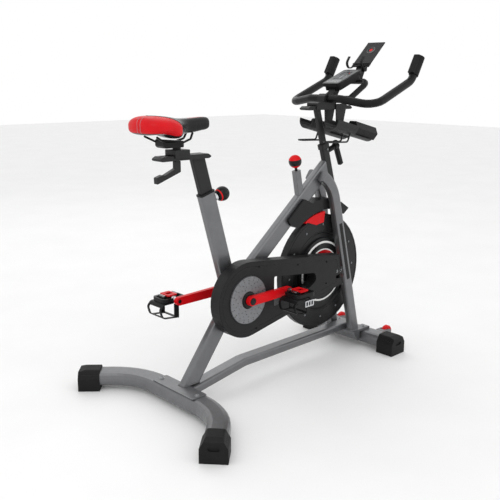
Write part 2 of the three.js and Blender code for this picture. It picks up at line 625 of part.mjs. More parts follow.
// Pedal: silver axle and housing between black side rails, with raised clip plates.
const PEDAL_L = 92;
const PEDAL_W = 70;
const PEDAL_H = 14;

function addPedals() {
  for (const [name, sign] of [['right', -1], ['left', 1]]) {
    const armY = sign < 0 ? RIGHT_ARM_Y : LEFT_ARM_Y;
    const eye = onLine(CRANK, crankDir, -sign * CRANK_LENGTH);
    const outerY = armY + sign * (ARM_LEAN + ARM_T);
    const near = outerY + sign * 14;
    const far = near + sign * PEDAL_W;
    const middle = (near + far) / 2;
    const spindle = rod(at(0, armY + sign * ARM_LEAN, 0), at(0, near + sign * 5, 0), 7, 16);
    const barrel = rod(at(0, outerY + sign * 3, 0), at(0, far - sign * 2, 0), 9.8, 16);
    const rim = slab(rounded([
      [-PEDAL_L / 2, -PEDAL_W / 2, 16], [PEDAL_L / 2, -PEDAL_W / 2, 16],
      [PEDAL_L / 2, PEDAL_W / 2, 16], [-PEDAL_L / 2, PEDAL_W / 2, 16]], 16, 4), -PEDAL_H / 2, PEDAL_H / 2)
      .translate([0, middle, 0]);
    const hole = slab(rectangle(PEDAL_L / 2 - 22, PEDAL_W - 24, 5), -20, 20).translate([27, middle, 0]);
    const clipOutline = rounded([[-34, 4], [34, 4], [30, 15], [18, 11], [-18, 11], [-30, 15]], 2, 2);
    const clip = side(clipOutline, middle - 17, middle + 17);
    const body = join(cut(rim, hole, hole.translate([-54, 0, 0])), barrel, spindle, clip);
    addPart(`pedal_${name}`, body.translate([eye.x, 0, eye.z]), BLACK);
    const cage = sign < 0 ? mirrorY(toeCage()) : toeCage();
    addPart(`toe_cage_${name}`, cage.translate([eye.x, middle, eye.z]), BLACK);
  }
}

// Toe cage hanging under the pedal, its closed end to the rear, with the strap over its open end.
function toeCage() {
  const w = PEDAL_W / 2 + 4;
  const drop = -PEDAL_H / 2 - GAP;
  const outer = rounded([[12, drop, 1], [-50, drop, 10], [-66, -24, 14], [-56, -58, 18],
    [12, -66, 1]], 4, 3);
  const low = drop - 3.2;
  const inner = rounded([[20, low, 1], [-48, low, 9], [-62, -25, 12], [-53, -55, 16], [20, -63, 1]], 4, 3);
  const shell = cut(side(outer, -w, w), side(inner, -w - 1, w + 1));
  const windowBottom = box(-42, 2, -w + 9, w - 9, -80, -45);
  const windowEnd = box(-90, -49, -w + 9, w - 9, -50, -18);
  const windowTop = box(-40, 8.5, -w + 10, w - 10, -20, 0);
  const strapOutline = rounded([[-8, drop, 1], [12, drop, 1], [12, -65.4, 1], [-8, -62, 1]], 1, 1);
  const strap = side(strapOutline, w - 0.2, w + 2.4);
  const buckle = box(-16, 16, w + 2.2, w + 8, -30, -12);
  const far = join(strap, mirrorY(strap), buckle);
  const axleGroove = box(-8, 8, -w - 4, w + 4, -12, 0);
  return cut(join(cut(shell, windowBottom, windowEnd, windowTop), far), axleGroove);
}

// Seat post, its rail, the slider with the saddle clamp, and the saddle.
const PIN_T = 359;
const PIN_DIR = Y_AXIS.clone().cross(SEAT_DIR).normalize();
const PIN_POINT = onLine(seatLine(PIN_T), PIN_DIR, TUBE_DEPTH / 2 + GAP);
const RAIL_Z = 826;
const RAIL_T = 15;

function addSeatPost() {
  const post = boxBeam(seatLine(195), seatLine(SEAT_POST_TOP + 25), 50, 20, 4);
  const bore = boxBeam(seatLine(190), seatLine(SEAT_POST_TOP - 40), 43, 13, 2);
  const above = box(-400, 200, -60, 60, RAIL_Z - GAP, 1000);
  const holes = [0, 1, 2, 3, 4].map((i) => {
    const hole = onLine(seatLine(PIN_T - i * 30), PIN_DIR, 28);
    return rod(hole, onLine(hole, PIN_DIR, -12), 5.6, 8);
  });
  addPart('seat_post', cut(post, bore, above, ...holes), DARK);
  const half = 22;
  const profile = rounded([
    [-317, RAIL_Z + 3, 2], [-309, RAIL_Z, 2], [-124, RAIL_Z, 2], [-116, RAIL_Z + 4, 2],
    [-116, RAIL_Z + 8, 2],
    [-128, RAIL_Z + RAIL_T, 2], [-306, RAIL_Z + RAIL_T, 2], [-317, RAIL_Z + 8, 2]], 2, 2);
  const slot = slab(rectangle(126, 13, 6, 3).map(([x, y]) => [x - 240, y]), RAIL_Z - 5, RAIL_Z + 30);
  addPart('seat_rail', cut(side(profile, -half, half), slot), DARK);
}

function addSeatSlider() {
  const bottom = RAIL_Z + RAIL_T + GAP;
  const block = side(rounded([[-263, bottom], [-206, bottom], [-206, 859], [-263, 859]], 3, 2), -26, 26);
  const skirt = box(-263, -206, -26, -22.5, RAIL_Z + 8, bottom + 2);
  const stem = rod(at(-238, 0, 850), at(-238, 0, 866), 13, 24);
  const stud = rod(at(-236, 0, RAIL_Z + 7), at(-236, 0, bottom + 3), 5, 12);
  addPart('seat_slider', join(block, skirt, mirrorY(skirt), stem, stud), DARK);
  const clamp = side(rounded([
    [-304, 873, 5], [-296, 866, 5], [-226, 866 + GAP, 3], [-226, 886, 3], [-304, 893, 5],
  ], 4, 2), -21, 21);
  const rails = new BentPath([
    at(-186, -15, 909), at(-196, -17, 890), at(-230, -22, 881), at(-300, -22, 884),
    at(-336, -32, 902)], [10, 14, 14], 3);
  const wire = sweep(circle(3.6, 6), rails);
  const stemSpace = rod(at(-238, 0, 840), at(-238, 0, 866 + GAP), 13 + GAP, 24);
  addPart('saddle_clamp', cut(join(clamp, wire, mirrorY(wire)), stemSpace), BLACK);
  addSaddle();
}

// Saddle: a broad rear and a narrow nose, in plan and in side view.
function addSaddle() {
  const plan = rounded([
    [-386, -36, 20], [-386, 36, 20], [-356, 76, 24], [-296, 80, 24], [-252, 54, 30],
    [-216, 27, 40], [-130, 20, 10],
    [-111, 14, 6], [-111, -14, 6], [-130, -20, 10], [-216, -27, 40], [-252, -54, 30],
    [-296, -80, 24], [-356, -76, 24],
  ], 10, 2);
  const profile = rounded([
    [-388, 930, 14], [-378, 905, 8], [-335, 897, 20], [-270, SADDLE_Z, 20], [-196, 911, 30], [-116, 925, 4],
    [-110, 948, 10], [-180, 951, 60], [-262, 952, 60], [-340, 966, 24], [-382, 955, 12]], 10, 2);
  const grown = sweep(circle(4.4, 6), new BentPath([
    at(-184, -15, 915), at(-196, -17, 890), at(-230, -22, 881), at(-300, -22, 884),
    at(-342, -34, 905)], [10, 14, 14], 3));
  const under = side([[-420, 880], [-260, 880], [-226, 886], [-226, 894 + GAP],
    [-304, 894 + GAP], [-420, 894]], -22, 22);
  addPart('saddle', cut(slab(plan, 880, 980).intersect(side(profile, -100, 100)), grown,
    mirrorY(grown), under), VINYL);
}

function addSeatLever() {
  const z = RAIL_Z - GAP;
  const profile = rounded([
    [-248, z - 2], [-229, z - 2], [-229, 789], [-321, 757], [-322, 778], [-300, 785],
    [-290, 783], [-248, 801]], 3, 2);
  const neck = rod(at(-236, 0, z - 6), at(-236, 0, RAIL_Z + 5), 5, 16);
  addPart('seat_lever', join(side(profile, -8, 8), neck), DARK);
}

function addSeatPin() {
  const barrel = rod(PIN_POINT, onLine(PIN_POINT, PIN_DIR, 10), 12, 20);
  const bore = rod(onLine(PIN_POINT, PIN_DIR, -1), onLine(PIN_POINT, PIN_DIR, 18), 6.6, 12);
  addPart('pin_barrel', cut(barrel, bore), SILVER);
  const centre = onLine(PIN_POINT, PIN_DIR, 38);
  const ball = turned([[0, -24], [10, -24], ...arc(25, -66, 80, 9), [0, 25]], 20, centre, PIN_DIR);
  const plunger = rod(onLine(PIN_POINT, PIN_DIR, -3.6), centre, 5, 16);
  addPart('seat_pin', join(ball, plunger), BLACK);
}

// Handlebar post, rail, slider, bars, grips and what they carry.
const BAR_RAIL_Z = 963;
const BAR_RAIL_T = 14;
const BAR_C = at(461, 0, 1003);

function addBarPost() {
  const topT = (BAR_RAIL_Z - HEAD_Z) / Math.cos(rad(HEAD_TILT));
  const post = boxBeam(headLine(HEAD_LOW + 10), headLine(topT + 20), POST_DEPTH, POST_WIDTH, 4);
  const z = BAR_RAIL_Z;
  const profile = rounded([
    [346, z + 3, 2], [354, z, 2], [590, z, 2], [597, z + 3, 2], [597, z + 7, 2], [586, z + BAR_RAIL_T, 2],
    [358, z + BAR_RAIL_T, 2], [346, z + 7, 2]], 2, 2);
  const slot = slab(rectangle(150, 9, 4, 3).map(([x, y]) => [x + 470, y]), z - 5, z + 30);
  const rail = cut(side(profile, -21, 21), slot);
  addPart('bar_post', join(cut(post, box(200, 700, -60, 60, BAR_RAIL_Z + 2, 1100)), rail), BLACK);
}

function addBarSlider() {
  const z = BAR_RAIL_Z + BAR_RAIL_T + GAP;
  const block = side(rounded([[390, z], [497, z], [497, 990], [486, 992], [404, 992],
    [390, 988]], 4, 2), -25, 25);
  const skirt = box(390, 560, -25, -21.5, BAR_RAIL_Z + 2, z + 4);
  const clampBlock = side(rounded([
    [436, 985], [486, 985], [484, 1012], [472, 1021], [450, 1021], [438, 1012],
  ], 5, 2), -17, 17);
  const hole = handlebarTube(BAR_R + GAP);
  const neck = side(rounded([[472, 986], [497, 986], [536, 1046], [500, 1036]], 3, 2), -15, 15);
  const hang = hangers();
  const fit = join(block, skirt, mirrorY(skirt), clampBlock, neck, hang, mirrorY(hang));
  addPart('bar_slider', cut(fit, hole), DARK);
}

// Plates that hang beside the rail and carry the trays.
function hangers() {
  const plate = side(rounded([
    [492, 984, 3], [556, 984, 3], [541, 925, 6], [536, 896, 6], [498, 896, 6], [497, 925, 6],
  ], 4, 2), -29, -25);
  return join(plate, box(492, 552, -26, -21.5, 970, 984));
}

const BAR_END = at(760, -BAR_HALF, 1152);
const BAR_BEND = at(713, -BAR_HALF, 1069);

function handlebarTube(r) {
  const corners = [
    BAR_END, BAR_BEND, at(494, -BAR_HALF, 982), at(463, -70, 1003),
    at(463, 70, 1003), at(494, BAR_HALF, 982), mirrorPoint(BAR_BEND), mirrorPoint(BAR_END)];
  return sweep(circle(r, 12), new BentPath(corners, [50, 62, 60, 60, 62, 50], 5));
}

function addHandlebar() {
  const loopCorners = [
    at(468, -52, 1003), at(532, -60, 1003), at(645, -58, 1066), at(645, 58, 1066),
    at(532, 60, 1003), at(468, 52, 1003)];
  const loop = sweep(circle(11, 10), new BentPath(loopCorners, [30, 32, 32, 30], 4));
  const arm = side(rounded([[640, 1060], [660, 1064], [682, 1108], [676, 1121], [664, 1116]], 3,
    2), -12, 12);
  const pinBore = rod(at(674, -20, 1111), at(674, 20, 1111), 4.4, 12);
  addPart('handlebar', cut(join(handlebarTube(BAR_R), loop, arm), pinBore), BLACK);
}

function addGrips() {
  const end = BAR_END;
  const along = end.clone().sub(BAR_BEND).normalize();
  const low = onLine(end, along, -72);
  const sleeve = rod(low, onLine(end, along, 4), BAR_R + 3.5, 20);
  const back = Y_AXIS.clone().cross(along).normalize().multiplyScalar(-17);
  const pad = boxBeam(low.clone().add(back), onLine(end, along, 1).add(back), 16, 26, 5);
  const clear = rod(onLine(low, along, -5), onLine(end, along, GAP), BAR_R + GAP, 20);
  addPair('grip', cut(join(sleeve, pad), clear), RUBBER);
}

// Console: tilted housing with a screen recess and a rubber keypad.
const CONSOLE_TILT = 21.3;
const CONSOLE_C = at(550, 0, 1081);
const consoleFrame = () => {
  const along = direction(CONSOLE_TILT);
  const up = direction(90 + CONSOLE_TILT);
  return basis(along, Y_AXIS, up, CONSOLE_C);
};
const consoleBlock = (points, z0, z1) =>
  prism(points, z1 - z0, consoleFrame().multiply(new THREE.Matrix4().setPosition(0, 0, z0)));
const shifted = (points, dx) => points.map(([x, y]) => [x + dx, y]);

function addConsole() {
  const plate = consoleBlock(shifted(rectangle(146, 84, 13, 3), 5), -12, 0);
  const belly = consoleBlock(shifted(rectangle(132, 72, 11, 3), 4), -29, -11.9);
  const screen = consoleBlock(shifted(rectangle(72, 44, 3), 14), -1.5, 1);
  const keys = consoleBlock(shifted(rectangle(27, 63, 4), -44), -3, 1);
  const neckSpace = side(rounded([[472, 986], [497, 986], [538, 1048], [500, 1038]], 3, 2), -16, 16);
  addPart('console', cut(join(plate, belly), screen, keys, neckSpace), BLACK);
  const pad = consoleBlock(shifted(rectangle(26, 62, 4), -44), -1.5, 1.5);
  addPart('console_keypad', pad, RUBBER);
}

// Tablet rack: plate leaning forward on a hinge, with two hooks at its lower edge.
function addRack() {
  const hinge = at(674, 0, 1111);
  const low = at(668, 0, 1124);
  const high = at(764, 0, 1213);
  const plate = beam(low, high, rectangle(4, 80, 0));
  const slope = high.clone().sub(low).normalize();
  const foot = beam(onLine(low, slope, -3), onLine(low, slope, 14), rectangle(9, 80, 3));
  const hook = sweep(rectangle(10, 3), new BentPath([
    at(668, 34, 1123), at(640, 34, 1112), at(622, 34, 1132), at(640, 34, 1158)], [16, 16], 5));
  const barrel = rod(at(hinge.x, -20, hinge.z), at(hinge.x, -12.6, hinge.z), 9, 16);
  const lug = side(rounded([[666, 1108], [683, 1108], [684, 1134], [668, 1128]], 3, 2), -20, -12.6);
  const pin = rod(at(hinge.x, -19, hinge.z), at(hinge.x, 19, hinge.z), 4, 12);
  const sideLug = join(barrel, lug);
  addPart('media_rack', join(plate, foot, hook, mirrorY(hook), sideLug, mirrorY(sideLug), pin), BLACK);
}

// Trays under the handlebar, each with a wire hook, and the hand weights that lie in them.
const TRAY_Y = -61;
const TRAY_FROM = at(430, TRAY_Y, 925.5);
const TRAY_TO = at(702, TRAY_Y, 861);
const TRAY_R = 34;

function trayBlock(points, t0, t1) {
  const along = TRAY_TO.clone().sub(TRAY_FROM).normalize();
  const up = at(-along.z, 0, along.x);
  return prism(points, t1 - t0, basis(Y_AXIS, up, along, onLine(TRAY_FROM, along, t0)));
}

function addTrays() {
  const outer = arc(TRAY_R, 170, 370, 10);
  const inner = arc(TRAY_R - 3, 370, 170, 10);
  const rear = trayBlock([...outer, ...inner], 0, 122);
  const floor = trayBlock([...arc(TRAY_R, 232, 308, 6), ...arc(TRAY_R - 3, 308, 232, 6)], 121, 232);
  const hook = sweep(circle(3.4, 6), new BentPath([
    at(520, -78, 878), at(506, -78, 846), at(400, -78, 850), at(400, -46, 850),
    at(506, -46, 846), at(520, -46, 878)],
  [12, 12, 12, 12], 3));
  const plateSpace = side([[480, 880], [560, 880], [560, 990], [480, 990]], -29 - GAP, -24);
  addPair('tray', cut(join(rear, floor, hook), plateSpace), DARK);
  const hex = circle(28, 6).map(([x, y]) => [x, y + 0.4]);
  const weight = join(trayBlock(hex, 124, 254), trayBlock(circle(13, 12), 40, 126));
  addPair('hand_weight', weight, BLACK);
}

function addBarLever() {
  const root = headLine(14);
  const p = (t) => onLine(root, FORWARD, t);
  const screw = rod(p(POST_DEPTH / 2 + 0.9), p(66), 5, 12);
  const barrel = rod(p(HEAD_DEPTH / 2 + 3.4), p(60), 10, 16);
  const down = HEAD_DIR.clone().negate();
  const arm = boxBeam(onLine(p(66), HEAD_DIR, 20), onLine(p(78), down, 78), 19, 17, 5);
  const head = rod(p(56), p(77), 12, 16);
  addPart('bar_lever', join(screw, barrel, arm, head), BLACK);
}

addStabilizers();
addCasters();
addBase();
addFrameTubes();
addHeadTube();
addFrontLegs();
addSeatSleeve();
addGuard();
addBelt();
addBrake();
addResistanceKnob();
addFlywheel();
addAxle();
addCrank();
addPedals();
addSeatPost();
addSeatSlider();
addSeatLever();
addSeatPin();
addBarPost();
addBarSlider();
addHandlebar();
addGrips();
addConsole();
addRack();
addTrays();
addBarLever();

// Origin on the floor, under the middle of the overall length.
const REAR_END = REAR_X - (REAR_HALF - 215) * Math.tan(rad(REAR_SWEEP))
  - (CAP_W / 2) * Math.cos(rad(REAR_SWEEP));
const FRONT_END = CASTER_X + CASTER_R;
bike.position.x = -(REAR_END + FRONT_END) / 2;

export default bike;
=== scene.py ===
"""Looks of the indoor spin bike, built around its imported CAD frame. Metres, +X forward, +Z up."""
import json
import math
import random

import bmesh
import bpy
from mathutils import Matrix, Vector


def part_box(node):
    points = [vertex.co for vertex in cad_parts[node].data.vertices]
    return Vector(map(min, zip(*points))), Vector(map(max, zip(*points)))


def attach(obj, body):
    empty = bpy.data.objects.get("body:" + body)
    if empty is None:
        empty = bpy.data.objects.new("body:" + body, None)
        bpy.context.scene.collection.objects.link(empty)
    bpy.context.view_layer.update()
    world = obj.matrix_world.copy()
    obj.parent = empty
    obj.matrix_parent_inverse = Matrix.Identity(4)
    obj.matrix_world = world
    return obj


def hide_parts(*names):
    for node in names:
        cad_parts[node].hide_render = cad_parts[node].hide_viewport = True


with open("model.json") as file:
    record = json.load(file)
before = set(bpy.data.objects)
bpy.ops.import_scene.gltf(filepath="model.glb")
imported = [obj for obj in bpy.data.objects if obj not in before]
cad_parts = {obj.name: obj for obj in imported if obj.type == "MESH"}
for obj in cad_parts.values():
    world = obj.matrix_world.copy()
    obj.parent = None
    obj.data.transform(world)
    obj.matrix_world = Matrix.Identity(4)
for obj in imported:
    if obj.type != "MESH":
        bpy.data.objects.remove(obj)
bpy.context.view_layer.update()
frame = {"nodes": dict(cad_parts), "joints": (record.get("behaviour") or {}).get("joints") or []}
random.seed(7)
MM = 0.001
JOINTS = {joint["name"]: joint for joint in frame["joints"]}


def joint_point(name):
    return Vector(JOINTS[name]["pos_m"])


def joint_axis(name):
    return Vector(JOINTS[name]["axis"]).normalized()


CRANK = joint_point("crank_spin")
AXLE = joint_point("flywheel_spin")
PIN_DIR = joint_axis("seat_pin_pull")
KNOB_DIR = joint_axis("knob_turn")
FORWARD = Vector((1, 0, 0))
LEFT = Vector((0, 1, 0))
RIGHT = Vector((0, -1, 0))
UP = Vector((0, 0, 1))
SIDES = (("right", -1), ("left", 1))


def design(x, y, z):
    """A point in the CAD's own millimetres, where X is measured from the crank."""
    return Vector((x, y, z)) * MM + Vector((CRANK.x, 0, 0))


# ---------------------------------------------------------------- materials
# How far a surface's roughness wanders to either side of its own value.
GLOSS_SPREAD = 0.12


def finish(name, color, rough, metallic=0.0, coat=0.0, vary=0.25, scale=30.0, grain=900.0, bump=0.00005,
           stretch=(1, 1, 1), specular=0.5):
    """A painted, moulded or metal surface: cloudy colour, uneven gloss and a fine grain."""
    material = bpy.data.materials.new(name)
    material.use_nodes = True
    tree = material.node_tree
    shader = tree.nodes["Principled BSDF"]
    shader.inputs["Metallic"].default_value = metallic
    shader.inputs["Coat Weight"].default_value = coat
    shader.inputs["Coat Roughness"].default_value = 0.12
    shader.inputs["Specular IOR Level"].default_value = specular
    coords = tree.nodes.new("ShaderNodeTexCoord")
    mapping = tree.nodes.new("ShaderNodeMapping")
    mapping.inputs["Scale"].default_value = stretch
    tree.links.new(coords.outputs["Object"], mapping.inputs["Vector"])
    cloud = noise(tree, mapping, scale, 4.0)
    ramp = tree.nodes.new("ShaderNodeValToRGB")
    ramp.color_ramp.elements[0].position = 0.3
    ramp.color_ramp.elements[1].position = 0.7
    ramp.color_ramp.elements[0].color = (*[c * (1 - vary) for c in color], 1)
    ramp.color_ramp.elements[1].color = (*[min(1, c * (1 + vary)) for c in color], 1)
    tree.links.new(cloud.outputs["Fac"], ramp.inputs["Fac"])
    tree.links.new(ramp.outputs["Color"], shader.inputs["Base Color"])
    gloss = tree.nodes.new("ShaderNodeMapRange")
    gloss.inputs["To Min"].default_value = max(0.02, rough - GLOSS_SPREAD)
    gloss.inputs["To Max"].default_value = min(1, rough + GLOSS_SPREAD)
    tree.links.new(noise(tree, mapping, scale * 3.1, 6.0).outputs["Fac"], gloss.inputs["Value"])
    tree.links.new(gloss.outputs["Result"], shader.inputs["Roughness"])
    relief = tree.nodes.new("ShaderNodeBump")
    relief.inputs["Distance"].default_value = bump
    relief.inputs["Strength"].default_value = 1.0
    tree.links.new(noise(tree, mapping, grain, 2.0).outputs["Fac"], relief.inputs["Height"])
    tree.links.new(relief.outputs["Normal"], shader.inputs["Normal"])
    return material


def noise(tree, mapping, scale, detail):
    node = tree.nodes.new("ShaderNodeTexNoise")
    node.inputs["Scale"].default_value = scale
    node.inputs["Detail"].default_value = detail
    tree.links.new(mapping.outputs["Vector"], node.inputs["Vector"])
    return node


GREY = finish("satin_grey_paint", (0.16, 0.162, 0.168), 0.34, metallic=0.7, coat=0.15, vary=0.06,
              bump=0.00003)
DARK = finish("dark_satin_paint", (0.02, 0.02, 0.021), 0.42, metallic=0.1, vary=0.08, bump=0.00002,
              specular=0.22)
BLACK = finish("black_powder_coat", (0.006, 0.006, 0.0065), 0.36, vary=0.15, bump=0.00002, specular=0.18)
RUBBER = finish("black_rubber", (0.008, 0.008, 0.008), 0.6, vary=0.2, grain=1100, bump=0.00004,
                specular=0.18)
GUARD = finish("guard_plastic", (0.011, 0.011, 0.012), 0.46, vary=0.1, bump=0.00002, specular=0.2)
PLASTIC = finish("moulded_black_plastic", (0.007, 0.007, 0.0075), 0.4, vary=0.15, bump=0.00002,
                 specular=0.18)
GLOSS = finish("gloss_black_plastic", (0.006, 0.006, 0.0065), 0.26, vary=0.15, bump=0.000005,
               specular=0.22)
RED = finish("red_enamel", (0.6, 0.005, 0.009), 0.34, vary=0.06, bump=0.00001, specular=0.14)
RED_PLASTIC = finish("red_plastic", (0.62, 0.006, 0.009), 0.4, vary=0.06, bump=0.00001, specular=0.14)
STEEL = finish("bright_steel", (0.55, 0.56, 0.57), 0.26, metallic=1.0, vary=0.08, stretch=(1, 12, 1),
               bump=0.00003)
ZINC = finish("zinc_bolt", (0.32, 0.33, 0.34), 0.34, metallic=1.0, vary=0.12, scale=120, bump=0.00003)
DISC = finish("brushed_grey_disc", (0.2, 0.205, 0.215), 0.42, metallic=0.6, vary=0.1, scale=90,
              bump=0.00005)
WHEEL = finish("flywheel_enamel", (0.008, 0.008, 0.009), 0.34, vary=0.15, bump=0.000005, specular=0.25)
WHITE = finish("white_enamel", (0.78, 0.78, 0.77), 0.32, coat=0.4, vary=0.04, bump=0.00002)
SILVER = finish("silver_plastic", (0.1, 0.102, 0.105), 0.4, vary=0.06, bump=0.00002, specular=0.25)
KEY = finish("light_key_rubber", (0.3, 0.305, 0.31), 0.5, vary=0.05, bump=0.00008)
SCREEN = finish("dark_screen", (0.035, 0.04, 0.042), 0.3, vary=0.2, scale=60, bump=0.00001, specular=0.2)
THREAD = finish("grey_thread", (0.3, 0.3, 0.31), 0.7, vary=0.3, scale=900, grain=2500, bump=0.0001)
IRON = finish("weight_vinyl", (0.009, 0.009, 0.0095), 0.5, vary=0.15, grain=1000, bump=0.00003,
              specular=0.18)
FLOOR = finish("pale_floor", (0.86, 0.86, 0.86), 0.6, vary=0.015, scale=3, grain=60, bump=0.0001)

NODE_MATERIALS = {
    GREY: ["rear_stabilizer", "front_stabilizer", "front_crosspiece", "base_tube", "seat_tube", "rear_leg",
           "diagonal_tube", "front_leg_right", "front_leg_left", "knob_sleeve"],
    DARK: ["bottom_bracket", "head_tube", "axle_plate_right", "axle_plate_left", "seat_post", "seat_rail",
           "seat_slider", "seat_lever", "bar_slider", "tray_right", "tray_left", "bar_post"],
    BLACK: ["knob_rod", "crank_axle", "saddle_clamp", "handlebar", "pedal_right", "pedal_left",
            "toe_cage_right", "toe_cage_left"],
    RUBBER: ["rear_cap_right", "rear_cap_left", "front_cap_right", "front_cap_left",
             "grip_right", "grip_left", "drive_belt"],
    GUARD: ["guard_cover", "guard_back", "brake_shroud"],
    PLASTIC: ["seat_sleeve", "console", "media_rack", "bar_lever", "resistance_knob", "seat_pin", "saddle"],
    RED: ["brake_magnet", "crank_arm_right", "crank_arm_left"],
    RED_PLASTIC: ["transport_wheel_right", "transport_wheel_left"],
    STEEL: ["flywheel_axle", "pin_barrel"],
    DISC: ["guard_disc"],
    WHEEL: ["flywheel", "flywheel_emblem"],
    KEY: ["console_keypad"],
    IRON: ["hand_weight_right", "hand_weight_left"],
}
for material, names in NODE_MATERIALS.items():
    for node_name in names:
        for material_slot in frame["nodes"][node_name].material_slots:
            material_slot.material = material


# ---------------------------------------------------------------- builders
def add_piece(name, body, data, material=None):
    """Adds mesh or curve data as a piece that rides on a body."""
    if material:
        data.materials.append(material)
    piece = bpy.data.objects.new(name, data)
    bpy.context.scene.collection.objects.link(piece)
    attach(piece, body)
    return piece


def mesh_data(name, points, faces, sharp=32):
    data = bpy.data.meshes.new(name)
    data.from_pydata([tuple(point) for point in points], [], faces)
    data.validate()
    shape = bmesh.new()
    shape.from_mesh(data)
    bmesh.ops.recalc_face_normals(shape, faces=shape.faces)
    shape.to_mesh(data)
    shape.free()
    data.shade_smooth()
    data.set_sharp_from_angle(angle=math.radians(sharp))
    return data


def turning(axis):
    """The rotation that takes +Z to an axis."""
    return Vector(axis).to_track_quat("Z", "Y").to_matrix()


def lathe(name, body, profile, origin, axis, materials, steps=40):
    """A turned piece: profile rows are (radius, height, material number) along the axis, in millimetres."""
    turn = turning(axis)
    points, rings = [], []
    for radius, height, _ in profile:
        count = 1 if radius == 0 else steps
        rings.append([len(points) + i for i in range(count)])
        for i in range(count):
            angle = 2 * math.pi * i / steps
            local = Vector((radius * math.cos(angle), radius * math.sin(angle), height)) * MM
            points.append(Vector(origin) + turn @ local)
    faces, numbers = [], []
    for row in range(len(profile) - 1):
        low, high = rings[row], rings[row + 1]
        for i in range(steps):
            after = i + 1
            corners = (low[i % len(low)], low[after % len(low)], high[after % len(high)], high[i % len(high)])
            face = list(dict.fromkeys(corners))
            if len(face) > 2:
                faces.append(face)
                numbers.append(profile[row][2])
    data = mesh_data(name, points, faces)
    for material in materials:
        data.materials.append(material)
    for polygon, number in zip(data.polygons, numbers):
        polygon.material_index = number
    return add_piece(name, body, data)


def dome_bolt(name, body, foot, axis, radius=6, material=ZINC):
    """A button-head bolt on its washer, with a round socket."""
    r = radius
    washer = 1.1
    profile = [
        (0, -0.2, 0), (r * 1.45, -0.2, 0), (r * 1.5, 0.4, 0), (r * 1.45, washer, 0), (r, washer, 0),
        (r, washer + r * 0.3, 0), (r * 0.85, washer + r * 0.62, 0), (r * 0.5, washer + r * 0.75, 0),
        (r * 0.46, washer + r * 0.72, 0), (r * 0.46, washer + r * 0.3, 0), (0, washer + r * 0.26, 0),
    ]
    return lathe(name, body, profile, foot, axis, [material], 24)


def wire(name, body, points, radius, material, closed=False):
    """A round wire, bead or thread through points, radius in millimetres."""
    data = bpy.data.curves.new(name, "CURVE")
    data.dimensions = "3D"
    data.bevel_depth = radius * MM
    data.bevel_resolution = 3
    data.use_fill_caps = not closed
    spline = data.splines.new("POLY")
    spline.points.add(len(points) - 1)
    for target, point in zip(spline.points, points):
        target.co = (*point, 1)
    spline.use_cyclic_u = closed
    spline.use_smooth = True
    return add_piece(name, body, data, material)


def rounded(corners, radius, steps=5):
    """A closed outline in millimetres with its corners rounded."""
    out = []
    for i, corner in enumerate(corners):
        here = Vector(corner[:2])
        before = (Vector(corners[i - 1][:2]) - here).normalized()
        after = (Vector(corners[(i + 1) % len(corners)][:2]) - here).normalized()
        for k in range(steps + 1):
            t = k / steps
            start = (here + before * radius).lerp(here, t)
            out.append(start.lerp(here.lerp(here + after * radius, t), t))
    return out


def plate(name, body, outline, thickness, place, material, bevel=0.4, holes=()):
    """A flat piece cut to an outline, with softened edges. place is a 4x4 matrix in metres."""
    shape = bmesh.new()
    edges = []
    for loop in [outline, *holes]:
        corners = [shape.verts.new((x * MM, y * MM, 0)) for x, y in loop]
        edges += [shape.edges.new((corners[i - 1], corners[i])) for i in range(len(corners))]
    bmesh.ops.triangle_fill(shape, edges=edges, use_beauty=True, use_dissolve=False)
    lifted = bmesh.ops.extrude_face_region(shape, geom=list(shape.faces))
    moved = [item for item in lifted["geom"] if isinstance(item, bmesh.types.BMVert)]
    bmesh.ops.translate(shape, verts=moved, vec=(0, 0, thickness * MM))
    bmesh.ops.recalc_face_normals(shape, faces=shape.faces)
    data = bpy.data.meshes.new(name)
    shape.to_mesh(data)
    shape.free()
    data.transform(place)
    data.shade_smooth()
    data.set_sharp_from_angle(angle=math.radians(35))
    piece = add_piece(name, body, data, material)
    soften = piece.modifiers.new("edges", "BEVEL")
    soften.width = bevel * MM
    soften.segments = 2
    soften.limit_method = "ANGLE"
    return piece


def matrix(origin, x_axis, y_axis):
    """A frame from an origin and its x and y directions."""
    x = Vector(x_axis).normalized()
    y = Vector(y_axis).normalized()
    z = x.cross(y)
    turn = Matrix((x, y, z)).transposed()
    return Matrix.Translation(Vector(origin)) @ turn.to_4x4()


# ---------------------------------------------------------------- saddle
SADDLE_LOW, SADDLE_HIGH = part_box("saddle")
SADDLE_SIZE = SADDLE_HIGH - SADDLE_LOW
# Along the saddle from rear to nose: place, half width, underside and top, each as a part of the CAD box.
SADDLE_STATIONS = [
    (0.0, 0.3, 0.4, 0.74), (0.015, 0.55, 0.3, 0.86), (0.05, 0.77, 0.22, 0.95), (0.11, 0.92, 0.2, 0.99),
    (0.2, 1.0, 0.24, 1.0), (0.3, 1.0, 0.2, 0.985), (0.38, 0.95, 0.08, 0.95), (0.45, 0.82, 0.0, 0.91),
    (0.5, 0.65, 0.03, 0.885), (0.56, 0.48, 0.12, 0.87), (0.64, 0.36, 0.17, 0.865), (0.75, 0.31, 0.2, 0.87),
    (0.87, 0.28, 0.26, 0.87), (0.95, 0.25, 0.3, 0.86), (0.985, 0.2, 0.36, 0.83), (1.0, 0.11, 0.44, 0.77),
]
# A section's roundness: how its height and its width fall off, above and below the middle.
SECTION_MIDDLE = 0.5
CROWN_POWER, BELLY_POWER = 1.0, 0.5
CROWN_FLANK, BELLY_FLANK = 1.0, 0.8

# The black top starts at a point near the rear and widens forward, fast at first.
BORDER_START = 0.15
BORDER_SLOPE = 1.75
BORDER_POWER = 0.6
BORDER_LENGTH = 0.28
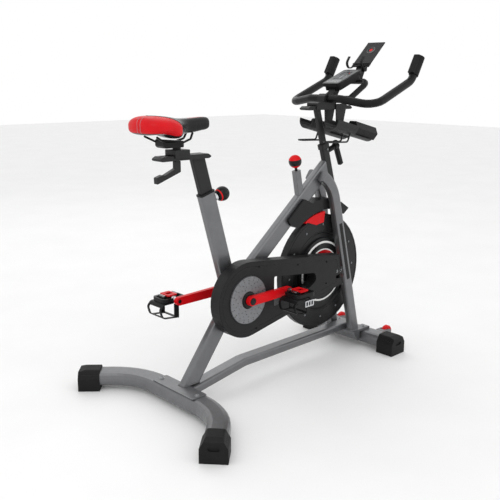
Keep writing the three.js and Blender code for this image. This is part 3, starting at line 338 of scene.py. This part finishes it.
# A red strip lies along the nose, and the underside of the rear is black.
STRIP_HALF_WIDTH, STRIP_START, STRIP_END = 0.05, 0.7, 0.93
UNDER_HEIGHT, UNDER_LENGTH = 0.3, 0.16
VINYL_BLACK = (0.012, 0.012, 0.013, 1)


def smooth_table(rows, t):
    """A value of each column at t, on a smooth curve through the rows."""
    i = max(k for k in range(len(rows) - 1) if rows[k][0] <= t)
    p1, p2 = rows[i], rows[i + 1]
    p0 = rows[i - 1] if i else p1
    p3 = rows[i + 2] if i + 2 < len(rows) else p2
    width = p2[0] - p1[0]
    u = (t - p1[0]) / width
    out = []
    for column in range(1, len(p1)):
        d1 = (p2[column] - p0[column]) / max(p2[0] - p0[0], 1e-6) * width
        d2 = (p3[column] - p1[column]) / max(p3[0] - p1[0], 1e-6) * width
        h = (2 * u**3 - 3 * u**2 + 1, u**3 - 2 * u**2 + u, 3 * u**2 - 2 * u**3, u**3 - u**2)
        out.append(h[0] * p1[column] + h[1] * d1 + h[2] * p2[column] + h[3] * d2)
    return out


def saddle_point(t, angle, grow=0.0):
    """A point of the cover: t runs rear to nose, angle round the section from the left side over the top."""
    half, low, high = smooth_table(SADDLE_STATIONS, t)
    x = SADDLE_LOW.x + SADDLE_SIZE.x * t
    z_low = SADDLE_LOW.z + SADDLE_SIZE.z * low
    z_high = SADDLE_LOW.z + SADDLE_SIZE.z * high
    middle = z_low + (z_high - z_low) * SECTION_MIDDLE
    c, s = math.cos(angle), math.sin(angle)
    power = CROWN_POWER if s > 0 else BELLY_POWER
    flank = CROWN_FLANK if s > 0 else BELLY_FLANK
    y = half * SADDLE_SIZE.y / 2 * math.copysign(abs(c) ** flank, c)
    rise = (z_high - middle if s > 0 else middle - z_low) * abs(s) ** power
    groove = math.exp(-((y / 0.012) ** 2)) * math.sin(math.pi * min(1, max(0, t - 0.08) / 0.8))
    dip = 0.0035 * max(0.0, s) * groove
    pull = 1 - 0.1 * max(0.0, -s) * (1 - abs(c))
    point = Vector((x, y * pull, middle + math.copysign(rise, s) - dip))
    centre = Vector((x, 0, middle))
    return point + (point - centre).normalized() * grow


def saddle_cover_material():
    """Red vinyl at the rear and sides, glossy black over the top and nose, with a sharp curved border."""
    material = finish("saddle_vinyl", (0.6, 0.005, 0.01), 0.42, vary=0.07, scale=25, bump=0.00002,
                      specular=0.16)
    tree = material.node_tree
    shader = tree.nodes["Principled BSDF"]
    red = shader.inputs["Base Color"].links[0].from_socket
    rough = shader.inputs["Roughness"].links[0].from_socket
    coords = tree.nodes.new("ShaderNodeTexCoord")
    split = tree.nodes.new("ShaderNodeSeparateXYZ")
    tree.links.new(coords.outputs["Object"], split.inputs["Vector"])

    def math_node(operation, first, second):
        node = tree.nodes.new("ShaderNodeMath")
        node.operation = operation
        for socket, value in zip(node.inputs, (first, second)):
            if isinstance(value, (int, float)):
                socket.default_value = value
            else:
                tree.links.new(value, socket)
        return node.outputs["Value"]

    along = math_node("DIVIDE", math_node("SUBTRACT", split.outputs["X"], SADDLE_LOW.x), SADDLE_SIZE.x)
    across = math_node("DIVIDE", math_node("ABSOLUTE", split.outputs["Y"], 0.0), SADDLE_SIZE.y / 2)
    past_start = math_node("MAXIMUM", math_node("SUBTRACT", along, BORDER_START), 0.0)
    reach = math_node("POWER", past_start, BORDER_POWER)
    black = math_node("GREATER_THAN", math_node("MULTIPLY", reach, BORDER_SLOPE), across)
    narrow = math_node("LESS_THAN", across, STRIP_HALF_WIDTH)
    strip = math_node("MULTIPLY", narrow, math_node("GREATER_THAN", along, STRIP_START))
    strip = math_node("MULTIPLY", strip, math_node("LESS_THAN", along, STRIP_END))
    mask = math_node("MULTIPLY", black, math_node("SUBTRACT", 1.0, strip))
    low_part = math_node("LESS_THAN", split.outputs["Z"], SADDLE_LOW.z + SADDLE_SIZE.z * UNDER_HEIGHT)
    under = math_node("MULTIPLY", low_part, math_node("LESS_THAN", along, UNDER_LENGTH))
    mask = math_node("MAXIMUM", mask, under)
    mix = tree.nodes.new("ShaderNodeMix")
    mix.data_type = "RGBA"
    color_sockets = [socket for socket in mix.inputs if socket.type == "RGBA"]
    color_sockets[1].default_value = VINYL_BLACK
    tree.links.new(mask, mix.inputs["Factor"])
    tree.links.new(red, color_sockets[0])
    mixed = [socket for socket in mix.outputs if socket.type == "RGBA"][0]
    tree.links.new(mixed, shader.inputs["Base Color"])
    smoother = math_node("SUBTRACT", rough, math_node("MULTIPLY", mask, 0.16))
    tree.links.new(smoother, shader.inputs["Roughness"])
    return material


def build_saddle():
    steps_along, steps_round = 84, 64
    points, faces = [], []
    for i in range(steps_along + 1):
        t = 0.5 - 0.5 * math.cos(math.pi * i / steps_along)
        for k in range(steps_round):
            points.append(saddle_point(t, 2 * math.pi * k / steps_round, -0.0006))
    for i in range(steps_along):
        for k in range(steps_round):
            after = (k + 1) % steps_round
            row = i * steps_round
            faces.append([row + k, row + after, row + steps_round + after, row + steps_round + k])
    faces.append(list(range(steps_round)))
    faces.append([steps_along * steps_round + k for k in range(steps_round)])
    data = mesh_data("saddle_cover", points, faces, sharp=70)
    cover = add_piece("saddle_cover", "seat_slider", data, saddle_cover_material())
    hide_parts("saddle")
    seam_foot, seam_height, seam_steps = SADDLE_LOW.z + 0.022, 0.0455, 30
    for i, y in enumerate((-0.004, -0.019)):
        arc = [rear_point(y, seam_foot + seam_height * k / seam_steps) for k in range(seam_steps + 1)]
        wire(f"saddle_seam_{i}", "seat_slider", arc, 0.5, THREAD)
    build_piping()


def rear_point(y, z):
    """The point of the rear face at a width and height."""
    low, high = 0.0, 0.2
    for _ in range(24):
        t = (low + high) / 2
        half, under, over = smooth_table(SADDLE_STATIONS, t)
        middle = SADDLE_LOW.z + SADDLE_SIZE.z * (under + (over - under) * SECTION_MIDDLE)
        reach_z = SADDLE_SIZE.z * (over - under) * SECTION_MIDDLE
        power = CROWN_POWER if z > middle else BELLY_POWER
        flank = CROWN_FLANK if z > middle else BELLY_FLANK
        across = min(1, abs(y) / (half * SADDLE_SIZE.y / 2)) ** (1 / flank)
        up = min(1, abs(z - middle) / reach_z) ** (1 / power)
        if across**2 + up**2 > 1:
            low = t
        else:
            high = t
    return Vector((SADDLE_LOW.x + SADDLE_SIZE.x * t, y, z))


def border_point(t, side):
    """Where the red panel meets the black top."""
    target = BORDER_SLOPE * max(t - BORDER_START, 0) ** BORDER_POWER
    low, high = 0.0, math.pi / 2
    for _ in range(30):
        angle = (low + high) / 2
        point = saddle_point(t, angle)
        if abs(point.y) / (SADDLE_SIZE.y / 2) > target:
            low = angle
        else:
            high = angle
    return saddle_point(t, angle if side > 0 else math.pi - angle, -0.0002)


def build_piping():
    for label, side in SIDES:
        line = [border_point(BORDER_START + BORDER_LENGTH * i / 40, side) for i in range(41)]
        wire(f"saddle_piping_{label}", "seat_slider", line, 0.7, GLOSS)


# ---------------------------------------------------------------- knobs
def ball_profile(radius, rows, top, low):
    """Radius and height along a ball's side, between two angles above and below its middle."""
    out = []
    for i in range(rows + 1):
        angle = math.radians(low + (top - low) * i / rows)
        out.append((radius * math.cos(angle), radius * math.sin(angle)))
    return out


def build_knobs():
    centre = pin_ball_centre()
    profile = [(0, -24.2, 0), (11, -24.2, 0), (17, -20.5, 0), (18.6, -18.8, 1), (21, -15, 0)]
    profile += [(r, h, 0 if h < 20 else 1) for r, h in ball_profile(24.8, 20, 84, -34)]
    profile.append((0, 24.8, 1))
    colours = [GLOSS, RED_PLASTIC]
    ball = lathe("seat_pin_ball", "seat_pin", profile, centre, PIN_DIR, colours, 48)
    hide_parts("seat_pin")
    stem = [(0, -41, 0), (4.9, -41, 0), (5, -40, 0), (5, -24, 0), (0, -24, 0)]
    lathe("seat_pin_stem", "seat_pin", stem, centre, PIN_DIR, [STEEL], 24)
    knob_centre = joint_point("knob_turn")
    profile = [(0, -22.8, 1), (9, -22.8, 1), (14.5, -19.4, 1), (18.4, -15.4, 1), (19.2, -14, 0)]
    profile += [(r, h, 0 if h < 7 else 1) for r, h in ball_profile(23.8, 20, 84, -34)]
    profile.append((0, 23.8, 1))
    knob = lathe("resistance_ball", "resistance_knob", profile, knob_centre, KNOB_DIR, colours, 48)
    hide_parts("resistance_knob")


def pin_ball_centre():
    """The middle of the pull knob's ball, from the outer corner of its CAD box."""
    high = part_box("seat_pin")[1]
    radius = 25 * MM
    return Vector((high.x - radius, 0, high.z - radius))


# ---------------------------------------------------------------- flywheel and guard
def build_flywheel():
    low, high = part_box("flywheel_emblem")
    origin = Vector((AXLE.x, high.y, AXLE.z))
    t = (high.y - low.y) / MM
    rows = [
        (43, 0, 3), (43, t - 1.2, 3), (48, t - 1.2, 3), (49, t - 0.6, 0), (84, t - 0.6, 0), (85, t, 1),
        (89, t, 1), (90, t - 0.6, 2), (111, t - 0.6, 2), (112, t, 1), (117, t, 1), (119.5, t - 1.2, 1),
        (119.5, 0, 1), (43, 0, 1),
    ]
    colours = [RED, WHITE, WHEEL, STEEL]
    emblem = lathe("flywheel_face_rings", "flywheel", rows, origin, RIGHT, colours, 96)
    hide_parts("flywheel_emblem")
    half_thick, screw_circle, screws = 0.015, 0.186, 12
    rim_face = Vector((AXLE.x, -half_thick, AXLE.z))
    for i in range(screws):
        angle = 2 * math.pi * i / screws
        foot = rim_face + Vector((math.cos(angle), 0, math.sin(angle))) * screw_circle
        dome_bolt(f"rim_screw_{i}", "flywheel", foot, RIGHT, 2.6)
        back = foot.copy()
        back.y = half_thick
        dome_bolt(f"rim_screw_left_{i}", "flywheel", back, LEFT, 2.6)
    for label, side in SIDES:
        y = side * (half_thick + 0.0001)
        for radius in (160, 214):
            angles = [2 * math.pi * k / 96 for k in range(96)]
            reach = radius * MM
            ring = [Vector((AXLE.x + reach * math.cos(a), y, AXLE.z + reach * math.sin(a))) for a in angles]
            wire(f"rim_bead_{label}_{radius}", "flywheel", ring, 0.9, GLOSS, closed=True)


CRANK_Z = 338
GUARD_R = 133
GUARD_TOP_SLOPE, GUARD_LOW_SLOPE = -6.4, 10.4


def guard_outline(inset):
    """Belt guard outline about the crank, as in the CAD: a round end and two straight edges."""
    r = GUARD_R - inset
    points = []
    for i in range(49):
        angle = math.radians(90 + GUARD_TOP_SLOPE + (180 + GUARD_LOW_SLOPE - GUARD_TOP_SLOPE) * i / 48)
        points.append(design(r * math.cos(angle), 0, CRANK_Z + r * math.sin(angle)))
    low_tip = design(512 - inset, 0, 297 + inset / math.cos(math.radians(GUARD_LOW_SLOPE)))
    top_tip = design(486 - inset, 0, 417.5 - inset / math.cos(math.radians(GUARD_TOP_SLOPE)))
    return [*points, low_tip, top_tip]


def build_guard():
    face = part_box("guard_cover")[0].y
    disc_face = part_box("guard_disc")[0].y
    for inset, radius, label, material in ((2.2, 1.1, "edge", GUARD), (17, 0.9, "line", GLOSS)):
        loop = guard_outline(inset)
        for point in loop:
            point.y = face + 0.0003
        wire(f"guard_{label}_bead", "frame", loop, radius, material, closed=True)
    # Dark gloss dots in rings stand in for the disc's perforations: painted shade in the holes, together with
    # the real dark guard behind them.
    hole_shade_dot = [(0, -0.3, 0), (1.5, -0.3, 0), (1.7, 0.12, 0), (1.2, 0.2, 0), (0, -0.1, 0)]
    for ring, count in ((40, 8), (50, 14), (60, 14), (70, 20), (78, 20)):
        for i in range(count):
            angle = 2 * math.pi * (i + 0.5 * (ring % 20 == 0)) / count
            x = CRANK.x + ring * MM * math.cos(angle)
            foot = Vector((x, disc_face, CRANK.z + ring * MM * math.sin(angle)))
            lathe(f"disc_hole_shade_dot_{ring}_{i}", "frame", hole_shade_dot, foot, RIGHT, [GLOSS], 10)
    rim = [(83, 0, 0), (84.9, 0, 0), (84.9, 1.2, 0), (84, 1.8, 0), (83, 1.2, 0), (83, 0, 0)]
    lathe("disc_rim", "frame", rim, Vector((CRANK.x, disc_face + 0.001, CRANK.z)), RIGHT, [DARK], 96)
    screw_places = ((52, 108), (250, 80), (412, 62), (412, -22), (250, -72), (40, -112))
    for i, (x, z) in enumerate(screw_places):
        foot = Vector((CRANK.x + x * MM, face, CRANK.z + z * MM))
        dome_bolt(f"guard_screw_{i}", "frame", foot, RIGHT, 2.6, GLOSS)


# ---------------------------------------------------------------- cranks and pedals
def outer_y(node, side):
    """Where a CAD node's box ends, on the right or the left."""
    low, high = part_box(node)
    return low.y if side < 0 else high.y


def build_cranks():
    cap = [(0, 0.1, 0), (9.5, 0.1, 0), (12.4, -0.6, 0), (12.4, -1.4, 0), (0, -1.4, 0)]
    eye = [(7.6, -1.5, 0), (7.6, 0.2, 0), (10.8, 0.3, 0), (11.4, -0.3, 0), (11.4, -1.5, 0), (7.6, -1.5, 0)]
    for label, side in SIDES:
        pin = joint_point(f"pedal_{label}_spin")
        normal = Vector((0, side, 0))
        hub = Vector((CRANK.x, outer_y("crank_axle", side), CRANK.z))
        lathe(f"crank_cap_{label}", "crank", cap, hub, normal, [GLOSS], 32)
        arm_end = Vector((pin.x, outer_y(f"crank_arm_{label}", side), pin.z))
        lathe(f"crank_eye_{label}", "crank", eye, arm_end, normal, [DARK], 32)


def build_pedals():
    collar = [(7.1, 0, 0), (9.6, 0, 0), (10.2, 1, 0), (10.2, 2.4, 0), (7.1, 2.4, 0), (7.1, 0, 0)]
    sleeve = [(9.9, 0, 0), (11.2, 1, 0), (11.2, 12, 0), (10.4, 14, 0), (12.6, 16, 0), (12.6, 26, 0),
              (10.2, 28, 0), (9.9, 28, 0), (9.9, 0, 0)]
    clip = rounded([(-20, -24), (20, -24), (20, 24), (-20, 24)], 5)
    clip_hole = rounded([(-11, -9), (11, -9), (11, 9), (-11, 9)], 3)
    claw_outline = rounded([(-6, -13), (6, -13), (6, 13), (-6, 13)], 2.5)
    for label, side in SIDES:
        body = f"pedal_{label}"
        pin = joint_point(f"pedal_{label}_spin")
        normal = Vector((0, side, 0))
        arm_face = outer_y(f"crank_arm_{label}", side)
        start = Vector((pin.x, arm_face + side * 0.0006, pin.z))
        lathe(f"pedal_collar_{label}", body, collar, start, normal, [STEEL], 32)
        sleeve_foot = Vector((pin.x, arm_face + side * 0.0032, pin.z))
        lathe(f"pedal_sleeve_{label}", body, sleeve, sleeve_foot, normal, [STEEL], 32)
        middle_y = (outer_y(f"pedal_{label}", side) + arm_face + side * 0.014) / 2
        middle = Vector((pin.x, middle_y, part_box(f"pedal_{label}")[1].z))
        sunk = Vector((0, 0, -0.0035))
        top = matrix(middle + sunk, FORWARD, LEFT)
        plate(f"clip_plate_{label}", body, clip, 5.0, top, RED, 1.0, [clip_hole])
        for place, end in (("rear", -1), ("front", 1)):
            claw = matrix(middle + sunk + FORWARD * end * 0.026, FORWARD, LEFT)
            plate(f"clip_claw_{label}_{place}", body, claw_outline, 3.0, claw, STEEL, 0.8)
            screw = middle + sunk + FORWARD * end * 0.014
            dome_bolt(f"clip_screw_{label}_{place}", body, screw, UP, 2.4)
        build_buckle(label, side, body, pin)


def build_buckle(label, side, body, pin):
    low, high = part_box(f"toe_cage_{label}")
    face = outer_y(f"toe_cage_{label}", side)
    centre = Vector((pin.x, face, (low.z + high.z) / 2 + 0.012))
    buckle = matrix(centre + Vector((0, -side * 0.0005, 0)), FORWARD, UP)
    outline = rounded([(-22, -11), (22, -11), (22, 11), (-22, 11)], 3)
    holes = [rounded([(x - 4, -7), (x + 4, -7), (x + 4, 7), (x - 4, 7)], 1.2) for x in (-13, 0, 13)]
    plate(f"buckle_{label}", body, outline, 1.6, buckle, STEEL, 0.4, holes)


# ---------------------------------------------------------------- console and rack
def build_console():
    keypad_up = -joint_axis("keypad_press")
    along = Vector((keypad_up.z, 0, -keypad_up.x))
    low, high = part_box("console_keypad")
    pad_top = (low + high) / 2 + keypad_up * 0.0015
    screen_centre = pad_top + along * 0.058
    face = matrix(pad_top + along * 0.044 - keypad_up * 0.0014, along, LEFT)
    outline = rounded([(-66, -37), (66, -37), (66, 37), (-66, 37)], 11, 8)
    window = rounded([(-21, -21), (49, -21), (49, 21), (-21, 21)], 3)
    keys = rounded([(-57.4, -31.4), (-30.6, -31.4), (-30.6, 31.4), (-57.4, 31.4)], 4)
    plate("console_bezel", "bar_slider", outline, 1.2, face, SILVER, 0.5, [window, keys])
    glass = matrix(screen_centre - keypad_up * 0.0026, along, LEFT)
    glass_outline = rounded([(-35.5, -21.5), (35.5, -21.5), (35.5, 21.5), (-35.5, 21.5)], 3)
    plate("console_screen", "bar_slider", glass_outline, 1.4, glass, SCREEN, 0.2)
    bar_outline = rounded([(-14, -3), (14, -3), (14, 3), (-14, 3)], 0.8)
    for row in range(5):
        y = (-20 + 10 * row) * MM
        bar = matrix(screen_centre - keypad_up * 0.00115 + LEFT * y - along * 0.012, along, LEFT)
        plate(f"screen_row_{row}", "bar_slider", bar_outline, 0.15, bar, SILVER if row % 2 else KEY, 0.05)
    lamp = screen_centre + along * 0.024 + Vector((0, -0.012, 0)) - keypad_up * 0.0011
    lamp_profile = [(0, 0, 0), (2.6, 0, 0), (2.4, 0.4, 0), (0, 0.5, 0)]
    lathe("screen_lamp", "bar_slider", lamp_profile, lamp, keypad_up, [RED_PLASTIC], 20)
    key_outline = rounded([(-4.6, -4), (4.6, -4), (4.6, 4), (-4.6, 4)], 2)
    for row in range(5):
        for column in range(2):
            spot = pad_top + LEFT * ((-24 + 12 * row) * MM) + along * ((-6 + 12 * column) * MM)
            key = matrix(spot - keypad_up * 0.0002, along, LEFT)
            plate(f"key_{row}_{column}", "console_keypad", key_outline, 1.1, key, KEY, 0.4)


def build_rack():
    pivot = joint_point("rack_tilt")
    foot = Vector((pivot.x - 0.006, 0, pivot.z + 0.013))
    slope = Vector((0.0957, 0, 0.089)).normalized()
    normal = Vector((-slope.z, 0, slope.x))
    badge = foot + slope * 0.086 + normal * 0.002
    rows = [(0, 0.8, 1), (6, 0.8, 1), (7, 0.8, 2), (15, 0.8, 0), (15.6, 1.1, 0), (17, 1.1, 0), (17.8, 0.5, 0),
            (18, -0.3, 0), (0, -0.3, 0)]
    lathe("rack_badge", "media_rack", rows, badge, normal, [SILVER, RED_PLASTIC, GLOSS], 48)
    lip = [foot + slope * 0.006 + normal * 0.0055 + Vector((0, y * MM, 0)) for y in range(-38, 39, 4)]
    wire("rack_lip", "media_rack", lip, 2.4, RUBBER)


# ---------------------------------------------------------------- bolts, welds, strip
REAR_LEG_TILT = 53.1


def loop_around(centre, normal, across, half_depth, half_width, radius=7):
    """Points round a rounded rectangular tube, in the plane through centre."""
    depth_axis = Vector(across).normalized()
    width_axis = Vector(normal).normalized().cross(depth_axis)
    corners = [(-half_depth, -half_width), (half_depth, -half_width), (half_depth, half_width),
               (-half_depth, half_width)]
    dense = []
    outline = rounded(corners, radius, 6)
    for i, point in enumerate(outline):
        after = outline[(i + 1) % len(outline)]
        count = max(1, int((after - point).length / 3))
        dense += [point.lerp(after, k / count) for k in range(count)]
    wobble = 0.5
    return [centre + (depth_axis * p.x + width_axis * p.y) * MM
            + Vector(normal) * random.uniform(-wobble, wobble) * MM for p in dense]


def build_joins():
    """Bolts on the stabilizers, weld beads round the tubes' feet, and the hardware at the flywheel's axle."""
    plate_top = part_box("rear_stabilizer")[1].z + 0.0033
    plate_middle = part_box("rear_stabilizer")[1].x - 0.038
    cross_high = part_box("front_crosspiece")[1]
    for label, side in SIDES:
        dome_bolt(f"rear_bolt_{label}", "frame", Vector((plate_middle, side * 0.094, plate_top)), UP, 6)
        front = Vector((cross_high.x - 0.02, side * 0.064, cross_high.z))
        dome_bolt(f"front_bolt_{label}", "frame", front, UP, 6)
    leg_angle = math.radians(180 + REAR_LEG_TILT)
    leg = Vector((math.cos(leg_angle), 0, math.sin(leg_angle)))
    foot = CRANK + leg * ((plate_top - CRANK.z) / leg.z)
    ring = loop_around(Vector((foot.x, 0, plate_top + 0.001)), UP, FORWARD, 36.5, 15.4)
    wire("weld_rear_leg", "frame", ring, 1.7, GREY, closed=True)
    base_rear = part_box("base_tube")[0].x
    for label, side in SIDES:
        line = [Vector((base_rear + 0.0045 + 0.0006 * math.sin(k), side * 0.0245, z * MM))
                for k, z in enumerate(range(34, 58, 2))]
        wire(f"weld_base_{label}", "frame", line, 1.6, GREY)
        leg_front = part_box(f"front_leg_{label}")[1].x
        centre = Vector((leg_front - 0.0265, side * 0.0535, cross_high.z + 0.0006))
        ring = loop_around(centre, UP, FORWARD, 23.5, 15.2, 8)
        wire(f"weld_leg_{label}", "frame", ring, 1.6, GREY, closed=True)
    lever = joint_point("bar_lever_turn")
    head_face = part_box("head_tube")[0].y
    dome_bolt("head_screw", "frame", Vector((lever.x, head_face, lever.z + 0.012)), RIGHT, 2.6)
    washer = [(10, 0, 0), (19, 0, 0), (19.4, 0.5, 0), (19, 1.0, 0), (10, 1.0, 0), (10, 0, 0)]
    for label, side in SIDES:
        outward = Vector((0, side, 0))
        nut = Vector((AXLE.x, outer_y("flywheel_axle", side) - side * 0.0106, AXLE.z))
        lathe(f"axle_washer_{label}", "frame", washer, nut, outward, [ZINC], 40)
        face = outer_y(f"axle_plate_{label}", side)
        for i, dx in enumerate((40, 62)):
            bolt = Vector((AXLE.x + dx * MM, face, AXLE.z))
            dome_bolt(f"axle_plate_bolt_{label}_{i}", "frame", bolt, outward, 4)


def build_label_strip():
    """Plain dark strip on the outer face of the right front leg."""
    foot = design(625, -55.5, 46)
    top = design(483, -31.5, 681)
    along = (top - foot).normalized()
    outward = RIGHT - along * RIGHT.dot(along)
    outward.normalize()
    forward = along.cross(outward)
    strip_bottom, half_length, leg_half_width = 0.30, 118, 0.01455
    start = foot + along * ((strip_bottom - foot.z) / along.z)
    centre = start + along * half_length * MM + outward * leg_half_width
    face = matrix(centre, forward if forward.x > 0 else -forward, along)
    if (face.to_3x3() @ UP).dot(outward) < 0:
        face = matrix(centre, -(face.to_3x3() @ FORWARD), along)
    outline = rounded([(-8.5, -half_length), (8.5, -half_length), (8.5, half_length), (-8.5, half_length)], 4)
    plate("leg_strip", "frame", outline, 0.5, face, GLOSS, 0.15)


def build_grips():
    cap = [(0, 3.9, 0), (9, 3.9, 0), (16.5, 3.7, 0), (17.6, 2.6, 0), (17.4, 1.6, 0), (0, 1.6, 0)]
    for label, side in SIDES:
        end = design(760, side * 203, 1152)
        bend = design(713, side * 203, 1069)
        along = (end - bend).normalized()
        lathe(f"grip_cap_{label}", "bar_slider", cap, end, along, [RUBBER], 40)


build_saddle()
build_knobs()
build_flywheel()
build_guard()
build_cranks()
build_pedals()
build_console()
build_rack()
build_joins()
build_label_strip()
build_grips()


# ---------------------------------------------------------------- stage, light, camera
def build_stage():
    data = bpy.data.meshes.new("floor")
    half = 14.0
    corners = [(-half, -half, 0), (half, -half, 0), (half, half, 0), (-half, half, 0)]
    data.from_pydata(corners, [], [(0, 1, 2, 3)])
    data.materials.append(FLOOR)
    floor = bpy.data.objects.new("floor", data)
    bpy.context.scene.collection.objects.link(floor)
    world = bpy.data.worlds.new("studio")
    world.use_nodes = True
    background = world.node_tree.nodes["Background"]
    background.inputs["Color"].default_value = (1, 1, 1, 1)
    background.inputs["Strength"].default_value = 1.0
    bpy.context.scene.world = world
    bpy.context.scene.view_settings.view_transform = "Standard"
    for name, place, size, power in (
        ("key", (-2.6, -1.6, 3.2), 2.4, 26),
        ("fill", (1.8, -3.4, 2.0), 2.2, 10),
        ("back", (1.0, 2.8, 3.0), 2.5, 14),
    ):
        light = bpy.data.lights.new(name, "AREA")
        light.size = size
        light.energy = power
        lamp = bpy.data.objects.new(name, light)
        lamp.location = place
        aim = Vector((0, 0, 0.55)) - Vector(place)
        lamp.rotation_euler = aim.to_track_quat("-Z", "Y").to_euler()
        bpy.context.scene.collection.objects.link(lamp)


def build_camera():
    place = Vector((-1.7804, -1.7444, 1.0738))
    heading, pitch, roll = math.radians(46.0), math.radians(13.6), math.radians(0.4)
    forward = Vector((math.cos(pitch) * math.cos(heading), math.cos(pitch) * math.sin(heading),
                      -math.sin(pitch)))
    level = Vector((math.sin(heading), -math.cos(heading), 0))
    upward = level.cross(forward)
    right = level * math.cos(roll) + upward * math.sin(roll)
    top = upward * math.cos(roll) - level * math.sin(roll)
    lens = bpy.data.cameras.new("camera")
    lens.lens = 51.07
    lens.sensor_width = 36
    lens.clip_end = 60
    camera = bpy.data.objects.new("camera", lens)
    turn = Matrix((right, top, -forward)).transposed()
    camera.matrix_world = Matrix.Translation(place) @ turn.to_4x4()
    bpy.context.scene.collection.objects.link(camera)
    bpy.context.scene.camera = camera


build_stage()
build_camera()
